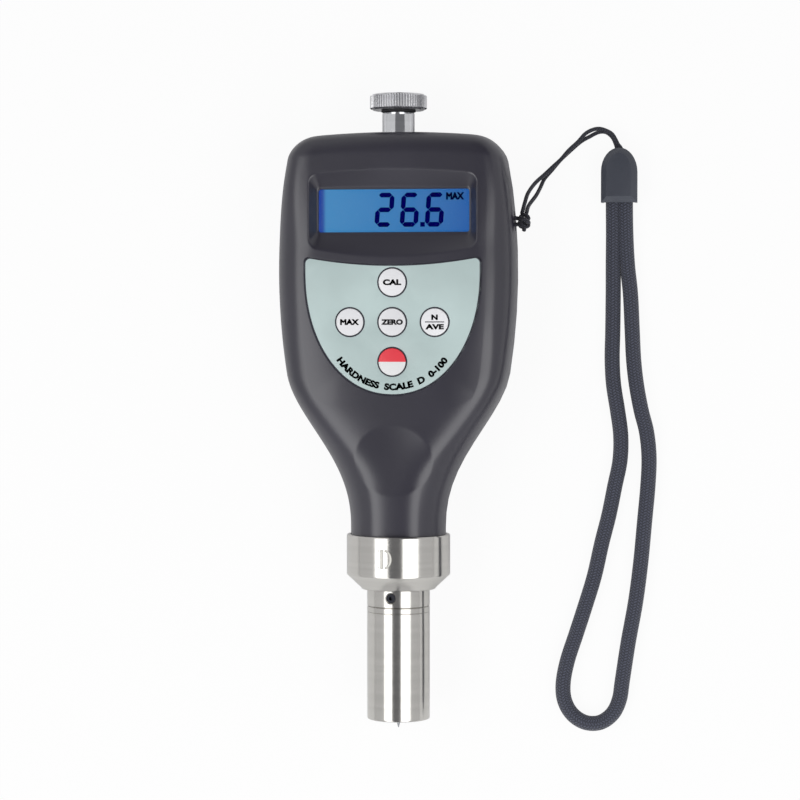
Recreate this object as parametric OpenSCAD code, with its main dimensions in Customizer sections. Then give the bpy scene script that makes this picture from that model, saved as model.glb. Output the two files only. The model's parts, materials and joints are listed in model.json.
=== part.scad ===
// Digital durometer: a pocket hardness gauge with a bottle-shaped plastic case, a backlit
// display, five keys, a turned steel collar and presser foot, and a wrist strap.
// It lies on its back. +Z points out of the display and +Y towards the thumb screw.
// Distances named _s run down the instrument from the top of the case to the foot.

/* [Case] */
// Width of the case where it is widest
case_w = 65; // [62:0.5:70]
// Length of the case from its top to the rim of the collar
case_len = 109.5; // [107:0.5:118]
// Thickness of the case at the display
case_t = 28; // [27.5:0.25:32]
// Wall of the two case shells
wall = 2; // [1.6:0.1:2.3]
// Distance from the top to the widest place
widest_s = 37.5; // [34:0.5:42]
// Radius of the long curve of each side
side_r = 180; // [160:5:260]
// Radius of the bow across the top end
top_r = 264; // [200:4:400]
// Rounding of the top end
end_r = 6; // [4.5:0.25:7]
// Distance from the top to where the case starts to narrow
waist_s = 65.5; // [64:0.5:68]
// Length over which the case narrows to its neck
waist_len = 42; // [38:0.5:43]
// Width of the neck at the collar
neck_w = 26.1; // [25:0.1:27]
// Height of the flat front of the neck above the axis
neck_face = 12.4; // [11.8:0.1:12.8]
// Squareness of the section at the head, where 2 is an ellipse
head_squareness = 4.4; // [3.6:0.1:5.5]
// Softness of the edge round the flat faces
face_soft = 1.1; // [0.6:0.1:2]
// Diameter of the thumb dimple
dimple_d = 22; // [18:0.5:23]
// Depth of the thumb dimple
dimple_depth = 2.2; // [1.4:0.1:2.6]
// Distance from the top to the middle of the thumb dimple
dimple_s = 89.5; // [88:0.5:92]

/* [Display] */
// Width of the clear window
window_w = 41.4; // [38:0.2:42]
// Height of the clear window
window_h = 12; // [10:0.2:12.6]
// Distance from the top to the middle of the window
window_s = 21.4; // [20.5:0.1:22]
// Width of the recess round the window
recess_w = 45.8; // [45:0.2:47]
// Slope of the recess above the window
recess_above = 4; // [3:0.1:4.6]
// Slope of the recess below the window
recess_below = 4.2; // [3:0.1:4.6]
// Bow of the upper edge of the recess
recess_bow_above = 1.5; // [0.5:0.1:2]
// Bow of the lower edge of the recess
recess_bow_below = 2.6; // [1:0.1:2.8]
// Thickness of the lens
lens_t = 1; // [0.8:0.1:1.4]
// Thickness of the liquid crystal glass
glass_t = 2.8; // [2.2:0.1:3]
// Thickness of the backlight
backlight_t = 3; // [2.4:0.1:3.4]

/* [Keypad] */
// Width of the keypad panel
panel_w = 47.8; // [46:0.2:49]
// Height of the panel from its upper corners
panel_h = 37.1; // [36:0.1:37.6]
// Height of the straight sides of the panel
panel_side = 4; // [3:0.1:5]
// Fullness of the panel's lower curve, where 2 is an ellipse
panel_fullness = 2.1; // [2:0.05:2.3]
// Bow of the upper edge of the panel
panel_bow = 2; // [1.2:0.1:2.6]
// Distance from the top to the upper corners of the panel
panel_s = 34.1; // [33.9:0.1:35.5]
// Thickness of the panel
panel_t = 0.6; // [0.5:0.1:0.9]
// Diameter of a key
key_d = 7; // [6:0.1:7.6]
// Width of the dark ring round a key
key_ring = 0.45; // [0.3:0.05:0.7]
// How far a key stands out of the panel
key_proud = 0.35; // [0.1:0.05:0.6]
// Travel of a key
key_travel = 0.5; // [0.3:0.05:0.6]
// Spacing of the keys across
key_pitch_x = 11.5; // [10.6:0.1:12.2]
// Spacing of the keys along
key_pitch_s = 10.7; // [10:0.1:11]
// Distance from the top to the middle row of keys
key_row_s = 51.5; // [51:0.1:52]

/* [Collar and foot] */
// Diameter of the collar
collar_d = 28.4; // [28:0.1:30]
// Length of the cylinder of the collar
collar_len = 11; // [10:0.1:13]
// Length of the taper below it
taper_len = 4.1; // [3.4:0.1:5]
// Diameter at the end of the taper
shoulder_d = 20.6; // [19.8:0.1:21.4]
// Length of the neck of the collar
collar_neck_len = 4.7; // [4.2:0.1:6]
// Depth of the socket that takes the case
socket_depth = 9; // [7.5:0.1:9.6]
// Diameter of the presser foot
foot_d = 17.2; // [16.5:0.1:18.5]
// Length of the presser foot
foot_len = 31.1; // [29:0.1:34]
// Thickness of the end of the presser foot
foot_floor = 2.5; // [2:0.1:3]
// Diameter of the hole in the end of the presser foot
foot_hole_d = 3; // [2.6:0.1:3.4]
// Diameter of the bore of the presser foot
foot_bore_d = 9.2; // [8.8:0.1:9.6]
// Diameter of the set screw in the collar
set_screw_d = 2.4; // [2:0.1:2.8]
// Turn of the set screw away from the middle of the front
set_screw_turn = 8; // [0:1:20]

/* [Indenter] */
// Reach of the indenter below the foot, which is also its travel
indenter_reach = 2.5; // [2:0.1:2.6]
// Diameter of the indenter
indenter_d = 1.25; // [1.1:0.05:1.4]
// Full angle of the point
point_angle = 30; // [26:1:35]
// Width of the flat on the point
point_d = 0.2; // [0.1:0.05:0.3]
// Diameter of the spindle that carries the indenter
spindle_d = 4; // [3.6:0.1:4.4]
// Length of the guide bush
bush_len = 8; // [6:0.5:9]
// Wire of the main spring
spring_wire = 0.9; // [0.7:0.05:1]
// Turns of the main spring
spring_turns = 7; // [5:1:8]
// Length of the sensor coil
coil_len = 15; // [13:0.5:17]

/* [Thumb screw] */
// Diameter of the post
post_d = 8.8; // [8:0.1:10]
// Height of the post above the case
post_h = 6; // [4.5:0.1:7]
// Diameter of the knurled head
head_d = 15.6; // [14:0.1:17]
// Height of the knurled head
head_h = 4.3; // [4:0.1:6]
// Number of grooves in the knurl
knurl_count = 60; // [48:1:72]
// Depth of a knurl groove
knurl_depth = 0.4; // [0.2:0.05:0.5]
// Thickness of the washer under the head
washer_t = 0.5; // [0.3:0.05:0.8]
// Diameter of the screw's thread
thread_d = 4; // [3.5:0.1:4.5]

/* [Battery bay] */
// Diameter of a cell
cell_d = 10.5; // [10.3:0.05:10.6]
// Length of a cell with its button
cell_len = 44.5; // [44:0.1:45]
// Thickness of the battery door
door_t = 1.7; // [1.5:0.1:2]
// How far the door is set in from the back
door_sink = 0.3; // [0.2:0.05:0.5]

/* [Strap] */
// Diameter of the braided cord
strap_d = 4.2; // [3.8:0.1:4.3]
// Diameter of the thin string
string_d = 1.1; // [0.9:0.05:1.2]
// Width of the end clip
clip_w = 9.9; // [9.8:0.1:11]
// Length of the end clip
clip_len = 15; // [14:0.1:17]
// Thickness of the end clip
clip_t = 7; // [6.4:0.1:8]
// Distance from the top to the strap eye
strap_eye_s = 24; // [23:0.1:25]

/* [Hidden] */
$fn = 48;
running = 0.04; // radial room of a shaft in its bore
fit = 0.15;     // room between pieces that are fitted and stay
touch = 0.05;   // room between faces that meet and part
clear = 0.3;    // room beside a piece that moves
eps = 0.01;

// Heights above the surface that the instrument lies on
axis_z = collar_d / 2;
door_top = door_sink + door_t;
cell_z = door_top + clear + cell_d / 2;
bay_top = cell_z + cell_d / 2 + fit;
bay_roof_t = 1;
board_gap = 1.6;
board_t = 1.6;
board_z = bay_top + bay_roof_t + board_gap;
board_top = board_z + board_t;
glass_z = board_top + backlight_t;
lens_z = glass_z + glass_t + fit;
window_wall = 1;
recess_z = lens_z + lens_t + window_wall;
pocket_z = case_t - panel_t + 0.1;
face_inner_z = case_t - wall;

// Lengths along the axis
socket_s = case_len;
neck_end_s = case_len + socket_depth - 0.4;
collar_total = collar_len + taper_len + collar_neck_len;
foot_s = case_len + collar_total;
foot_end_s = foot_s + foot_len;
total_len = head_h + washer_t + post_h + foot_end_s + indenter_reach;
top_y = total_len / 2 - head_h - washer_t - post_h;

function y_at(s) = top_y - s;

// Form of the case
neck_r = neck_w / 2;
front_h = case_t - axis_z;
front_over = 2.4;
back_over = 3;
waist_end = waist_s + waist_len;

function mix(a, b, t) = a + (b - a) * t;
function smooth(t) = t <= 0 ? 0 : t >= 1 ? 1 : t * t * (3 - 2 * t);
function soft_min(a, b, k) = let(h = max(k - abs(a - b), 0) / k) min(a, b) - h * h * k / 4;
function head_share(s) = 1 - smooth((s - waist_s) / waist_len);
function half_w(s) = mix(neck_r, case_w / 2 - pow(s - widest_s, 2) / (2 * side_r), head_share(s));
function power(v, p) = sign(v) * pow(abs(v), p);
function end_in(s, inset) = let(r = end_r - inset, d = r - (s - inset))
    d > 0 ? r - sqrt(max(r * r - d * d, 0)) : 0;

// A point of the section at s, at an angle that starts on the +X side and turns over the front
function form_point(s, a, inset) =
    let(h = head_share(s),
        square = h * h,
        off = inset + end_in(s, inset),
        n = mix(2, head_squareness, square),
        over = mix(neck_r, a <= 180 ? front_h + front_over : axis_z + back_over, square),
        face = a <= 180 ? mix(neck_face, front_h, h) : mix(neck_r + face_soft, axis_z, h),
        x = (half_w(s) - off) * power(cos(a), 2 / n),
        z = (over - off) * power(abs(sin(a)), 2 / n),
        bow = (x * x) / (2 * top_r) * (1 - smooth((s - inset) / 20)))
    [x, y_at(s) - bow, axis_z + (a <= 180 ? 1 : -1) * soft_min(z, face - off, face_soft)];

// Places of the sections: close together round the top end and along the waist
head_rows = 7;
waist_rows = 11;
function end_stations(inset) = [for (q = [0:15:90]) inset + (end_r - inset) * (1 - cos(q))];
function form_stations(inset, last) = concat(
    end_stations(inset),
    [for (i = [1:head_rows]) mix(end_r, waist_s, i / head_rows)],
    [for (i = [1:waist_rows]) mix(waist_s, waist_end, i / waist_rows)],
    [last]);

// The solid of the case, taken in by inset, through the sections at the stations
module case_form(inset, stations, ring) {
    rows = len(stations);
    last = stations[rows - 1];
    points = concat(
        [for (s = stations) for (i = [0:ring - 1]) form_point(s, 360 * i / ring, inset)],
        [[0, y_at(stations[0]), axis_z], [0, y_at(last), axis_z]]);
    skin = [for (j = [0:rows - 2]) for (i = [0:ring - 1])
        let(a = j * ring + i, b = j * ring + (i + 1) % ring)
        for (f = [[a, b + ring, b], [a, a + ring, b + ring]]) f];
    top = [for (i = [0:ring - 1]) [rows * ring, i, (i + 1) % ring]];
    end = [for (i = [0:ring - 1]) let(a = (rows - 1) * ring)
        [rows * ring + 1, a + (i + 1) % ring, a + i]];
    polyhedron(points, concat(skin, top, end));
}

outer_ring = 44;
inner_ring = 24;
module outer_form() { case_form(0, form_stations(0, neck_end_s), outer_ring); }
module inner_form() { case_form(wall, form_stations(wall, neck_end_s + 1), inner_ring); }
module inside_wall() { case_form(wall / 2, form_stations(wall / 2, neck_end_s), inner_ring); }
module half_space(z) { translate([-case_w, -total_len, z]) cube([2 * case_w, 2 * total_len, case_t]); }
module front_side() { half_space(axis_z); }
module back_side() { half_space(axis_z - case_t); }

// Places a child at x across and s down, with its height left alone
module at(x, s) { translate([x, y_at(s), 0]) children(); }

// Lays a child that is turned about Z along the axis, with its +Z running down the instrument
module turned(s) { translate([0, y_at(s), axis_z]) rotate([90, 0, 0]) children(); }

// Display recess
window_lip = 0.2;
recess_corner = 2.4;
recess_samples = 10;
recess_top_s = window_s - window_h / 2 - recess_above;
recess_end_s = window_s + window_h / 2 + recess_below;

// Outline of the recess at the face, with bowed long edges and its corners square
module recess_outline() {
    half = recess_w / 2;
    polygon(concat(
        [for (i = [-recess_samples:recess_samples]) let(t = i / recess_samples)
            [half * t, -recess_top_s + recess_bow_above * (1 - t * t) - recess_bow_above]],
        [for (i = [-recess_samples:recess_samples]) let(t = i / recess_samples)
            [-half * t, -recess_end_s - recess_bow_below * (1 - t * t)]]));
}
module round_corners(r) { offset(r = r, $fn = 24) offset(delta = -r) children(); }

// The tapered space of the recess, grown by margin, from the floor of the recess to above the face
module recess_space(margin, floor_z, top_z) {
    hull() {
        translate([0, top_y, top_z]) linear_extrude(eps)
            offset(delta = margin) round_corners(recess_corner) recess_outline();
        at(0, window_s) translate([-window_w / 2 - margin, -window_h / 2 - margin, floor_z])
            cube([window_w + 2 * margin, window_h + 2 * margin, eps]);
    }
}

// Keypad panel
panel_corner = 1.3;
panel_samples = 24;
panel_room = 0.15;
module panel_outline() {
    half = panel_w / 2;
    round_corners(panel_corner) polygon(concat(
        [for (i = [0:panel_samples]) let(a = 180 + 180 * i / panel_samples)
            [half * power(cos(a), 2 / panel_fullness),
                -panel_s - panel_side + (panel_h - panel_side) * power(sin(a), 2 / panel_fullness)]],
        [for (i = [0:panel_samples]) let(t = 1 - 2 * i / panel_samples)
            [half * t, -panel_s - panel_bow * (1 - t * t)]]));
}

// Keys: name, column and row from the middle key
KEYS = [["calibrate", 0, -1], ["maximum", -1, 0], ["zero", 0, 0], ["average", 1, 0], ["power", 0, 1]];
key_flange_d = key_d + 2.2;
key_flange_t = 0.8;
key_nub_d = 3;
dome_h = 0.5;
dome_d = key_d - 1;
key_top = pocket_z + panel_t + key_proud;
module at_key(k) { at(k[1] * key_pitch_x, key_row_s + k[2] * key_pitch_s) children(); }

// Display glass and the board that carries it
glass_w = window_w + 3.4;
glass_h = window_h + 4.4;
frame_wall = 1;
board_half = glass_w / 2 + frame_wall + fit + 0.3;
board_s = recess_top_s - 0.9;
board_end_s = panel_s + panel_h + 1.8;
board_corner = 7.5;

// Bosses and screws
case_screw_d = 2.2;
case_head_d = 3.8;
case_head_t = 1.6;
case_boss_d = 5.4;
case_head_z = 3;
boss_draft = 0.6;
case_boss_end = axis_z + 0.8;
case_cross = 1.4;
board_cross = 1.2;
board_screw_d = 1.8;
board_head_d = 3.6;
board_head_t = 1.2;
board_boss_d = 4.2;
board_screw_top_s = recess_end_s + 1.5;
board_screws = [for (side = [-1, 1])
    for (p = [[board_half - 3, board_screw_top_s], [board_half - board_corner, board_end_s - 4]])
    [side * p[0], p[1]]];
screw_bite = 6;

// A boss that tapers towards its free end
module drafted_boss(d, low, high) {
    hull() {
        translate([0, 0, low]) cylinder(h = eps, d = d, $fn = 24);
        translate([0, 0, high]) cylinder(h = eps, d = d + boss_draft, $fn = 24);
    }
}

// Strap eye: a pocket across the joint of the shells, with a pin in it
eye_l = 5.4;
eye_h = 4.2;
eye_depth = 4;
eye_wall = 1.2;
eye_pin_d = 1.6;
eye_x = half_w(strap_eye_s);
eye_pin_x = eye_x - 1.9;
eye_pin_len = eye_h + 2 * eye_wall - 0.2;
module eye_block(grow) {
    at(eye_x - eye_depth - grow, strap_eye_s) translate([0, -eye_l / 2 - grow, axis_z - eye_h / 2 - grow])
        cube([eye_depth + 2 * grow + 2, eye_l + 2 * grow, eye_h + 2 * grow]);
}
module eye_pin_hole() {
    at(eye_pin_x, strap_eye_s) translate([0, 0, axis_z])
        cylinder(h = eye_pin_len, d = eye_pin_d + 2 * touch, center = true, $fn = 24);
}

// Battery bay
cell_pitch = cell_d + 0.2;
cell_count = 4;
bay_half = cell_pitch * cell_count / 2;
bay_wall = 1.4;
bay_s = 9.6;
plate_t = 0.5;
spring_room = 5.5;
bay_len = plate_t + cell_len + spring_room;
bay_end_s = bay_s + bay_len;
door_half = bay_half + bay_wall;
door_end_s = bay_end_s + bay_wall;
tongue_w = 1;
tongue_t = 0.7;
tongue_z = door_top - tongue_t;
rail_t = 1.2;

// Case screws: one pair under the door, between the end wall and the cell bay, and one in the waist
waist_screw_gap = 10;
case_screw_top_s = bay_s - bay_wall - (case_boss_d + boss_draft) / 2;
case_screw_low_s = dimple_s - waist_screw_gap;
case_screws = [for (side = [-1, 1]) for (p = [
    [bay_half, case_screw_top_s], [half_w(case_screw_low_s) - 4 * wall, case_screw_low_s]])
    [side * p[0], p[1]]];

// Post and thumb screw
post_shank_d = 6;
post_nut_t = 3.4;
post_nut_af = 9.6;
post_nut_corner_d = post_nut_af / cos(30);
post_shank_len = wall + post_nut_t + 0.8;
post_bore = post_h + 3;
thread_len = post_h + 1;
head_chamfer = 0.5;

// Hole for the post, with a flat seat for its nut
module post_seat() {
    turned(-wall) cylinder(h = 3 * wall, d = post_shank_d + 2 * fit, $fn = 32);
    turned(wall) cylinder(h = post_nut_t + 1, d = post_nut_corner_d + 2 * clear, $fn = 32);
}

module front_shell() {
    color("#3b3a40") difference() {
        union() {
            difference() {
                intersection() { outer_form(); front_side(); }
                inner_form();
            }
            intersection() {
                inside_wall();
                front_side();
                union() {
                    recess_space(window_wall, lens_z + lens_t, case_t);
                    for (p = case_screws) at(p[0], p[1]) drafted_boss(case_boss_d, case_boss_end, case_t);
                    for (p = board_screws) at(p[0], p[1]) drafted_boss(board_boss_d, board_top, case_t);
                    at(0, dimple_s) translate([0, 0, dimple_face - dimple_depth - wall])
                        cylinder(h = case_t, d = dimple_d, $fn = 32);
                    eye_block(eye_wall);
                }
            }
        }
        recess_space(0, recess_z, case_t + eps);
        at(0, window_s) translate([-window_w / 2 + window_lip, -window_h / 2 + window_lip, lens_z])
            cube([window_w - 2 * window_lip, window_h - 2 * window_lip, case_t]);
        translate([0, top_y, pocket_z]) linear_extrude(wall) offset(delta = panel_room) panel_outline();
        for (k = KEYS) at_key(k) translate([0, 0, face_inner_z - wall])
            cylinder(h = 2 * wall, d = key_d + 4 * fit, $fn = 32);
        at(0, dimple_s) thumb_dimple();
        for (p = case_screws) at(p[0], p[1]) translate([0, 0, axis_z])
            cylinder(h = screw_bite + 1, d = case_screw_d + 2 * touch, $fn = 24);
        for (p = board_screws) at(p[0], p[1]) translate([0, 0, board_top - eps])
            cylinder(h = screw_bite - 1, d = board_screw_d + 2 * touch, $fn = 24);
        eye_block(0);
        eye_pin_hole();
        post_seat();
    }
}

// Shallow cup for the thumb, turned about the line through its middle
dimple_face = axis_z + mix(neck_face, front_h, head_share(dimple_s));
module thumb_dimple() {
    cup_r = (dimple_d * dimple_d / 4 + dimple_depth * dimple_depth) / (2 * dimple_depth);
    rise = 3;
    steps = 7;
    translate([0, 0, dimple_face - dimple_depth]) rotate_extrude($fn = 44)
        polygon(concat(
            [for (i = [0:steps]) let(r = (dimple_d / 2 + rise) * i / steps)
                [r, cup_r - sqrt(cup_r * cup_r - r * r)]],
            [[0, 3 * rise]]));
}

module rear_shell() {
    color("#37363c") difference() {
        union() {
            difference() {
                intersection() { outer_form(); back_side(); }
                inner_form();
            }
            intersection() {
                inside_wall();
                back_side();
                union() {
                    bay_walls();
                    for (p = case_screws) at(p[0], p[1]) drafted_boss(case_boss_d, axis_z, 0);
                    for (side = [-1, 1]) at(side * (door_half + tongue_w), bay_s) rail();
                    eye_block(eye_wall);
                }
            }
        }
        at(-bay_half, bay_end_s) translate([0, 0, -eps]) cube([2 * bay_half, bay_len, bay_top]);
        door_space();
        for (p = case_screws) at(p[0], p[1]) {
            translate([0, 0, -eps])
                cylinder(h = case_head_z + case_head_t + 2 * eps, d = case_head_d + 2 * clear, $fn = 24);
            cylinder(h = case_t, d = case_screw_d + 2 * fit, $fn = 24);
        }
        eye_block(0);
        eye_pin_hole();
        post_seat();
    }
}

// Box round the cells, closed towards the board
module bay_walls() {
    at(-door_half, door_end_s) cube([2 * door_half, bay_len + 2 * bay_wall, bay_top + bay_roof_t]);
}

// Thickening of the back along each side of the door, which holds the groove
module rail() {
    hull() {
        translate([-rail_t - fit, -bay_len - bay_wall, 0])
            cube([2 * (rail_t + fit), bay_len + bay_wall + bay_s, door_top + rail_t]);
        translate([-rail_t, -bay_len - bay_wall, 0])
            cube([2 * rail_t, bay_len + bay_wall + bay_s, door_top + 2 * rail_t]);
    }
}

// Room for the door and its tongues, open at the top end so that the door slides out there
module door_space() {
    room = door_end_s + fit;
    at(-door_half - fit, room) translate([0, 0, -eps])
        cube([2 * (door_half + fit), room + wall, door_top + fit]);
    at(-door_half - tongue_w - fit, room) translate([0, 0, tongue_z - fit])
        cube([2 * (door_half + tongue_w + fit), room + wall, tongue_t + 2 * fit]);
}

grip_count = 5;
grip_pitch = 2.2;
grip_w = 1;
grip_depth = 0.5;
grip_len = 18;
module battery_door() {
    color("#343339") difference() {
        union() {
            intersection() {
                case_form(0, concat(end_stations(0), [door_end_s + wall]), outer_ring);
                at(-door_half, door_end_s) translate([0, 0, door_sink])
                    cube([2 * door_half, door_end_s + wall, door_t]);
            }
            at(-door_half - tongue_w, door_end_s) translate([0, 0, tongue_z])
                cube([2 * (door_half + tongue_w), bay_len + bay_wall, tongue_t]);
        }
        for (i = [0:grip_count - 1]) at(-grip_len / 2, door_end_s - 4 - i * grip_pitch)
            translate([0, -grip_w / 2, 0]) cube([grip_len, grip_w, door_sink + grip_depth]);
    }
}

module battery(i) {
    button_d = 3.8;
    button_h = 1;
    crimp = 0.5;
    up = i % 2 == 0;
    start_s = up ? bay_s + plate_t : bay_end_s - plate_t;
    color("#8f3a2c") translate([(i - (cell_count - 1) / 2) * cell_pitch, y_at(start_s), cell_z])
        rotate([up ? 90 : -90, 0, 0]) rotate_extrude() polygon([
            [0, 0], [button_d / 2, 0], [button_d / 2, button_h], [cell_d / 2 - crimp, button_h],
            [cell_d / 2, button_h + crimp], [cell_d / 2, cell_len - crimp],
                [cell_d / 2 - crimp, cell_len], [0, cell_len]]);
}

// Places a child at the button end (1) or the flat end (-1) of each cell, with +Z away from the cell
module at_cell_ends(end) {
    for (i = [0:cell_count - 1]) {
        up = i % 2 == 0;
        button_s = up ? bay_s : bay_end_s;
        flat_s = up ? bay_end_s : bay_s;
        translate([(i - (cell_count - 1) / 2) * cell_pitch, y_at(end > 0 ? button_s : flat_s), cell_z])
            rotate([(up ? 1 : -1) * (end > 0 ? -90 : 90), 0, 0]) children();
    }
}

module contact_plates() {
    plate_w = 7.6;
    color("silver") at_cell_ends(1) translate([-plate_w / 2, -plate_w / 2, -plate_t])
        cube([plate_w, plate_w, plate_t - touch]);
}

// A wire wound from radius r1 to radius r2 as it rises by rise, with sides faces round it
function coil_path(r1, r2, rise, turns, steps) =
    [for (i = [0:turns * steps]) let(t = i / (turns * steps), a = 360 * i / steps, r = mix(r1, r2, t))
        [r * cos(a), r * sin(a), rise * t]];

module contact_springs() {
    wire = 0.7;
    base_t = 0.4;
    base_w = 8;
    color("silver") at_cell_ends(-1) translate([0, 0, -spring_room]) {
        sweep(coil_path(1.7, 3.2, spring_room - base_t - wire, 3, 10), wire, 6, [0, 0, wire / 2]);
        translate([-base_w / 2, -base_w / 2, spring_room - base_t - touch])
            cube([base_w, base_w, base_t]);
    }
}

// Direction of a path at point i
function direction(path, i) =
    let(d = path[min(i + 1, len(path) - 1)] - path[max(i - 1, 0)]) d / norm(d);

// A tube of diameter d with the given number of sides along a path, as one closed solid
module sweep(path, d, sides, shift = [0, 0, 0]) {
    rows = len(path);
    points = concat(
        [for (i = [0:rows - 1])
            let(t = direction(path, i),
                side = cross(t, abs(t[2]) > 0.9 ? [1, 0, 0] : [0, 0, 1]),
                u = side / norm(side), v = cross(u, t))
            for (k = [0:sides - 1]) let(a = 360 * k / sides)
                path[i] + shift + d / 2 * (u * cos(a) + v * sin(a))]);
    skin = [for (j = [0:rows - 2]) for (k = [0:sides - 1])
        let(a = j * sides + k, b = j * sides + (k + 1) % sides)
        for (f = [[a, b, b + sides], [a, b + sides, a + sides]]) f];
    start = [for (k = [1:sides - 2]) [0, k + 1, k]];
    finish = [for (k = [1:sides - 2]) let(a = (rows - 1) * sides) [a, a + k, a + k + 1]];
    polyhedron(points, concat(skin, start, finish));
}

module lcd_window() {
    lens_w = window_w + 3.4;
    lens_h = window_h + 3.4;
    color("#c8dcec", 0.4) at(0, window_s) translate([-lens_w / 2, -lens_h / 2, lens_z])
        cube([lens_w, lens_h, lens_t - touch]);
}

module lcd_glass() {
    color("#4a8ac0") at(0, window_s) translate([-glass_w / 2, -glass_h / 2, glass_z])
        cube([glass_w, glass_h, glass_t]);
}

strip_w = 1.8;
module lcd_backlight() {
    light_h = glass_h - 2 * strip_w - 4 * fit;
    color("white") at(0, window_s) translate([-glass_w / 2, -light_h / 2, board_top + eps])
        cube([glass_w, light_h, backlight_t - 2 * eps]);
}

// Rubber strips that carry the signals from the board to the glass
module contact_strips() {
    color("#b86a7a") for (side = [-1, 1])
        at(0, window_s + side * (glass_h / 2 - strip_w / 2))
            translate([-glass_w / 2, -strip_w / 2, board_top + eps])
            cube([glass_w, strip_w, backlight_t - 2 * eps]);
}

module display_frame() {
    color("#2c2c30") at(0, window_s) difference() {
        translate([-glass_w / 2 - frame_wall - fit, -glass_h / 2 - frame_wall - fit, board_top + eps])
            cube([glass_w + 2 * (frame_wall + fit), glass_h + 2 * (frame_wall + fit),
                lens_z - board_top - touch]);
        translate([-glass_w / 2 - fit, -glass_h / 2 - fit, board_top - 1])
            cube([glass_w + 2 * fit, glass_h + 2 * fit, case_t]);
    }
}

module main_board() {
    color("#1f6a3c") difference() {
        translate([0, top_y, board_z]) linear_extrude(board_t) polygon([
            [-board_half, -board_s], [-board_half, -board_end_s + board_corner],
                [-board_half + board_corner, -board_end_s],
            [board_half - board_corner, -board_end_s], [board_half, -board_end_s + board_corner],
                [board_half, -board_s]]);
        for (p = board_screws) at(p[0], p[1]) translate([0, 0, board_z - 1])
            cylinder(h = board_t + 2, d = board_screw_d + 2 * fit);
    }
}

// Chips beside the keys: place across and down, then the chip's size
chip_x = key_pitch_x + key_d / 2;
chip_h = key_d / 2;
CHIPS = [
    [-chip_x, key_row_s + key_pitch_s, [key_d, key_d, board_t]],
    [chip_x, key_row_s + key_pitch_s, [key_d - 1, chip_h, board_t]],
    [chip_x, key_row_s - key_pitch_s, [key_d - 1, chip_h, board_t]]];
module board_chips() {
    color("#202024") for (c = CHIPS)
        at(c[0], c[1]) translate([-c[2][0] / 2, -c[2][1] / 2, board_top + eps]) cube(c[2]);
}

// Socket on the back of the board for the lead of the sensor, open towards the foot
plug_w = 7;
plug_l = 4;
plug_h = 4.5;
plug_wall = 0.7;
plug_s = board_end_s - 3.5;
module sensor_socket() {
    color("ivory") at(0, plug_s) difference() {
        translate([-plug_w / 2, -plug_l / 2, board_z - plug_h]) cube([plug_w, plug_l, plug_h - eps]);
        translate([-plug_w / 2 + plug_wall, -plug_l / 2 - plug_wall, board_z - plug_h + plug_wall])
            cube([plug_w - 2 * plug_wall, plug_l, plug_h - 3 * plug_wall]);
    }
}

module board_fixings() {
    color("silver") for (p = board_screws) at(p[0], p[1]) {
        translate([0, 0, board_z - board_head_t - touch])
            screw(board_head_d, board_head_t, board_screw_d, screw_bite - 0.6, board_cross);
    }
}

module case_fixings() {
    color("#55565a") for (p = case_screws) at(p[0], p[1])
        translate([0, 0, case_head_z])
            screw(case_head_d, case_head_t, case_screw_d,
                axis_z + screw_bite - case_head_z - case_head_t, case_cross);
}

// A screw with its head at the bottom, a cross recess in the head, and a pointed end
module screw(hd, ht, d, length, cross) {
    difference() {
        union() {
            cylinder(h = ht, d = hd);
            cylinder(h = ht + length - d / 2, d = d);
            translate([0, 0, ht + length - d / 2]) cylinder(h = d / 2, d1 = d, d2 = d / 3);
        }
        for (a = [0, 90]) rotate(a) translate([-cross, -cross / 5, -eps])
            cube([2 * cross, cross * 2 / 5, ht / 2]);
    }
}

module keypad_panel() {
    color("#b4c9c5") difference() {
        translate([0, top_y, pocket_z + eps]) linear_extrude(panel_t - eps) panel_outline();
        for (k = KEYS) at_key(k) cylinder(h = 2 * case_t, d = key_d + 2 * key_ring);
    }
}

// A round key with a flange that keeps it in the shell and a nub that reaches its dome
module key(k) {
    crown = 0.25;
    flange_z = face_inner_z - touch - key_flange_t;
    nub_z = board_top + dome_h + key_travel + touch;
    color("#e4e4e2") at_key(k) {
        rotate_extrude() polygon([
            [0, nub_z], [key_nub_d / 2, nub_z], [key_nub_d / 2, flange_z], [key_flange_d / 2, flange_z],
            [key_flange_d / 2, flange_z + key_flange_t], [key_d / 2, flange_z + key_flange_t],
            [key_d / 2, key_top - crown], [key_d / 2 - crown, key_top], [0, key_top]]);
    }
}

module key_domes() {
    color("silver") for (k = KEYS) at_key(k) translate([0, 0, board_top + eps])
        cylinder(h = dome_h - eps, d1 = dome_d, d2 = dome_d / 2);
}

// Collar
socket_r = neck_r + fit;
spigot_r = foot_bore_d / 2 + 1.4;
rim_chamfer = 0.4;
set_screw_z = collar_len + taper_len + collar_neck_len / 2 - 0.3;
module radial(z, turn) { rotate([0, 0, turn]) translate([0, 0, z]) rotate([-90, 0, 0]) children(); }
module collar() {
    color("#c9c9c5") turned(socket_s) difference() {
        rotate_extrude() polygon([
            [socket_r, 0], [collar_d / 2 - rim_chamfer, 0], [collar_d / 2, rim_chamfer],
                [collar_d / 2, collar_len],
            [shoulder_d / 2, collar_len + taper_len - rim_chamfer],
                [shoulder_d / 2 - rim_chamfer, collar_len + taper_len],
            [foot_d / 2, collar_len + taper_len], [foot_d / 2, collar_total - rim_chamfer / 2],
            [foot_d / 2 - rim_chamfer / 2, collar_total], [spigot_r + running, collar_total],
            [spigot_r + running, socket_depth], [socket_r, socket_depth]]);
        radial(set_screw_z, set_screw_turn) cylinder(h = foot_d, d = set_screw_d + 2 * touch);
    }
}

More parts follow.
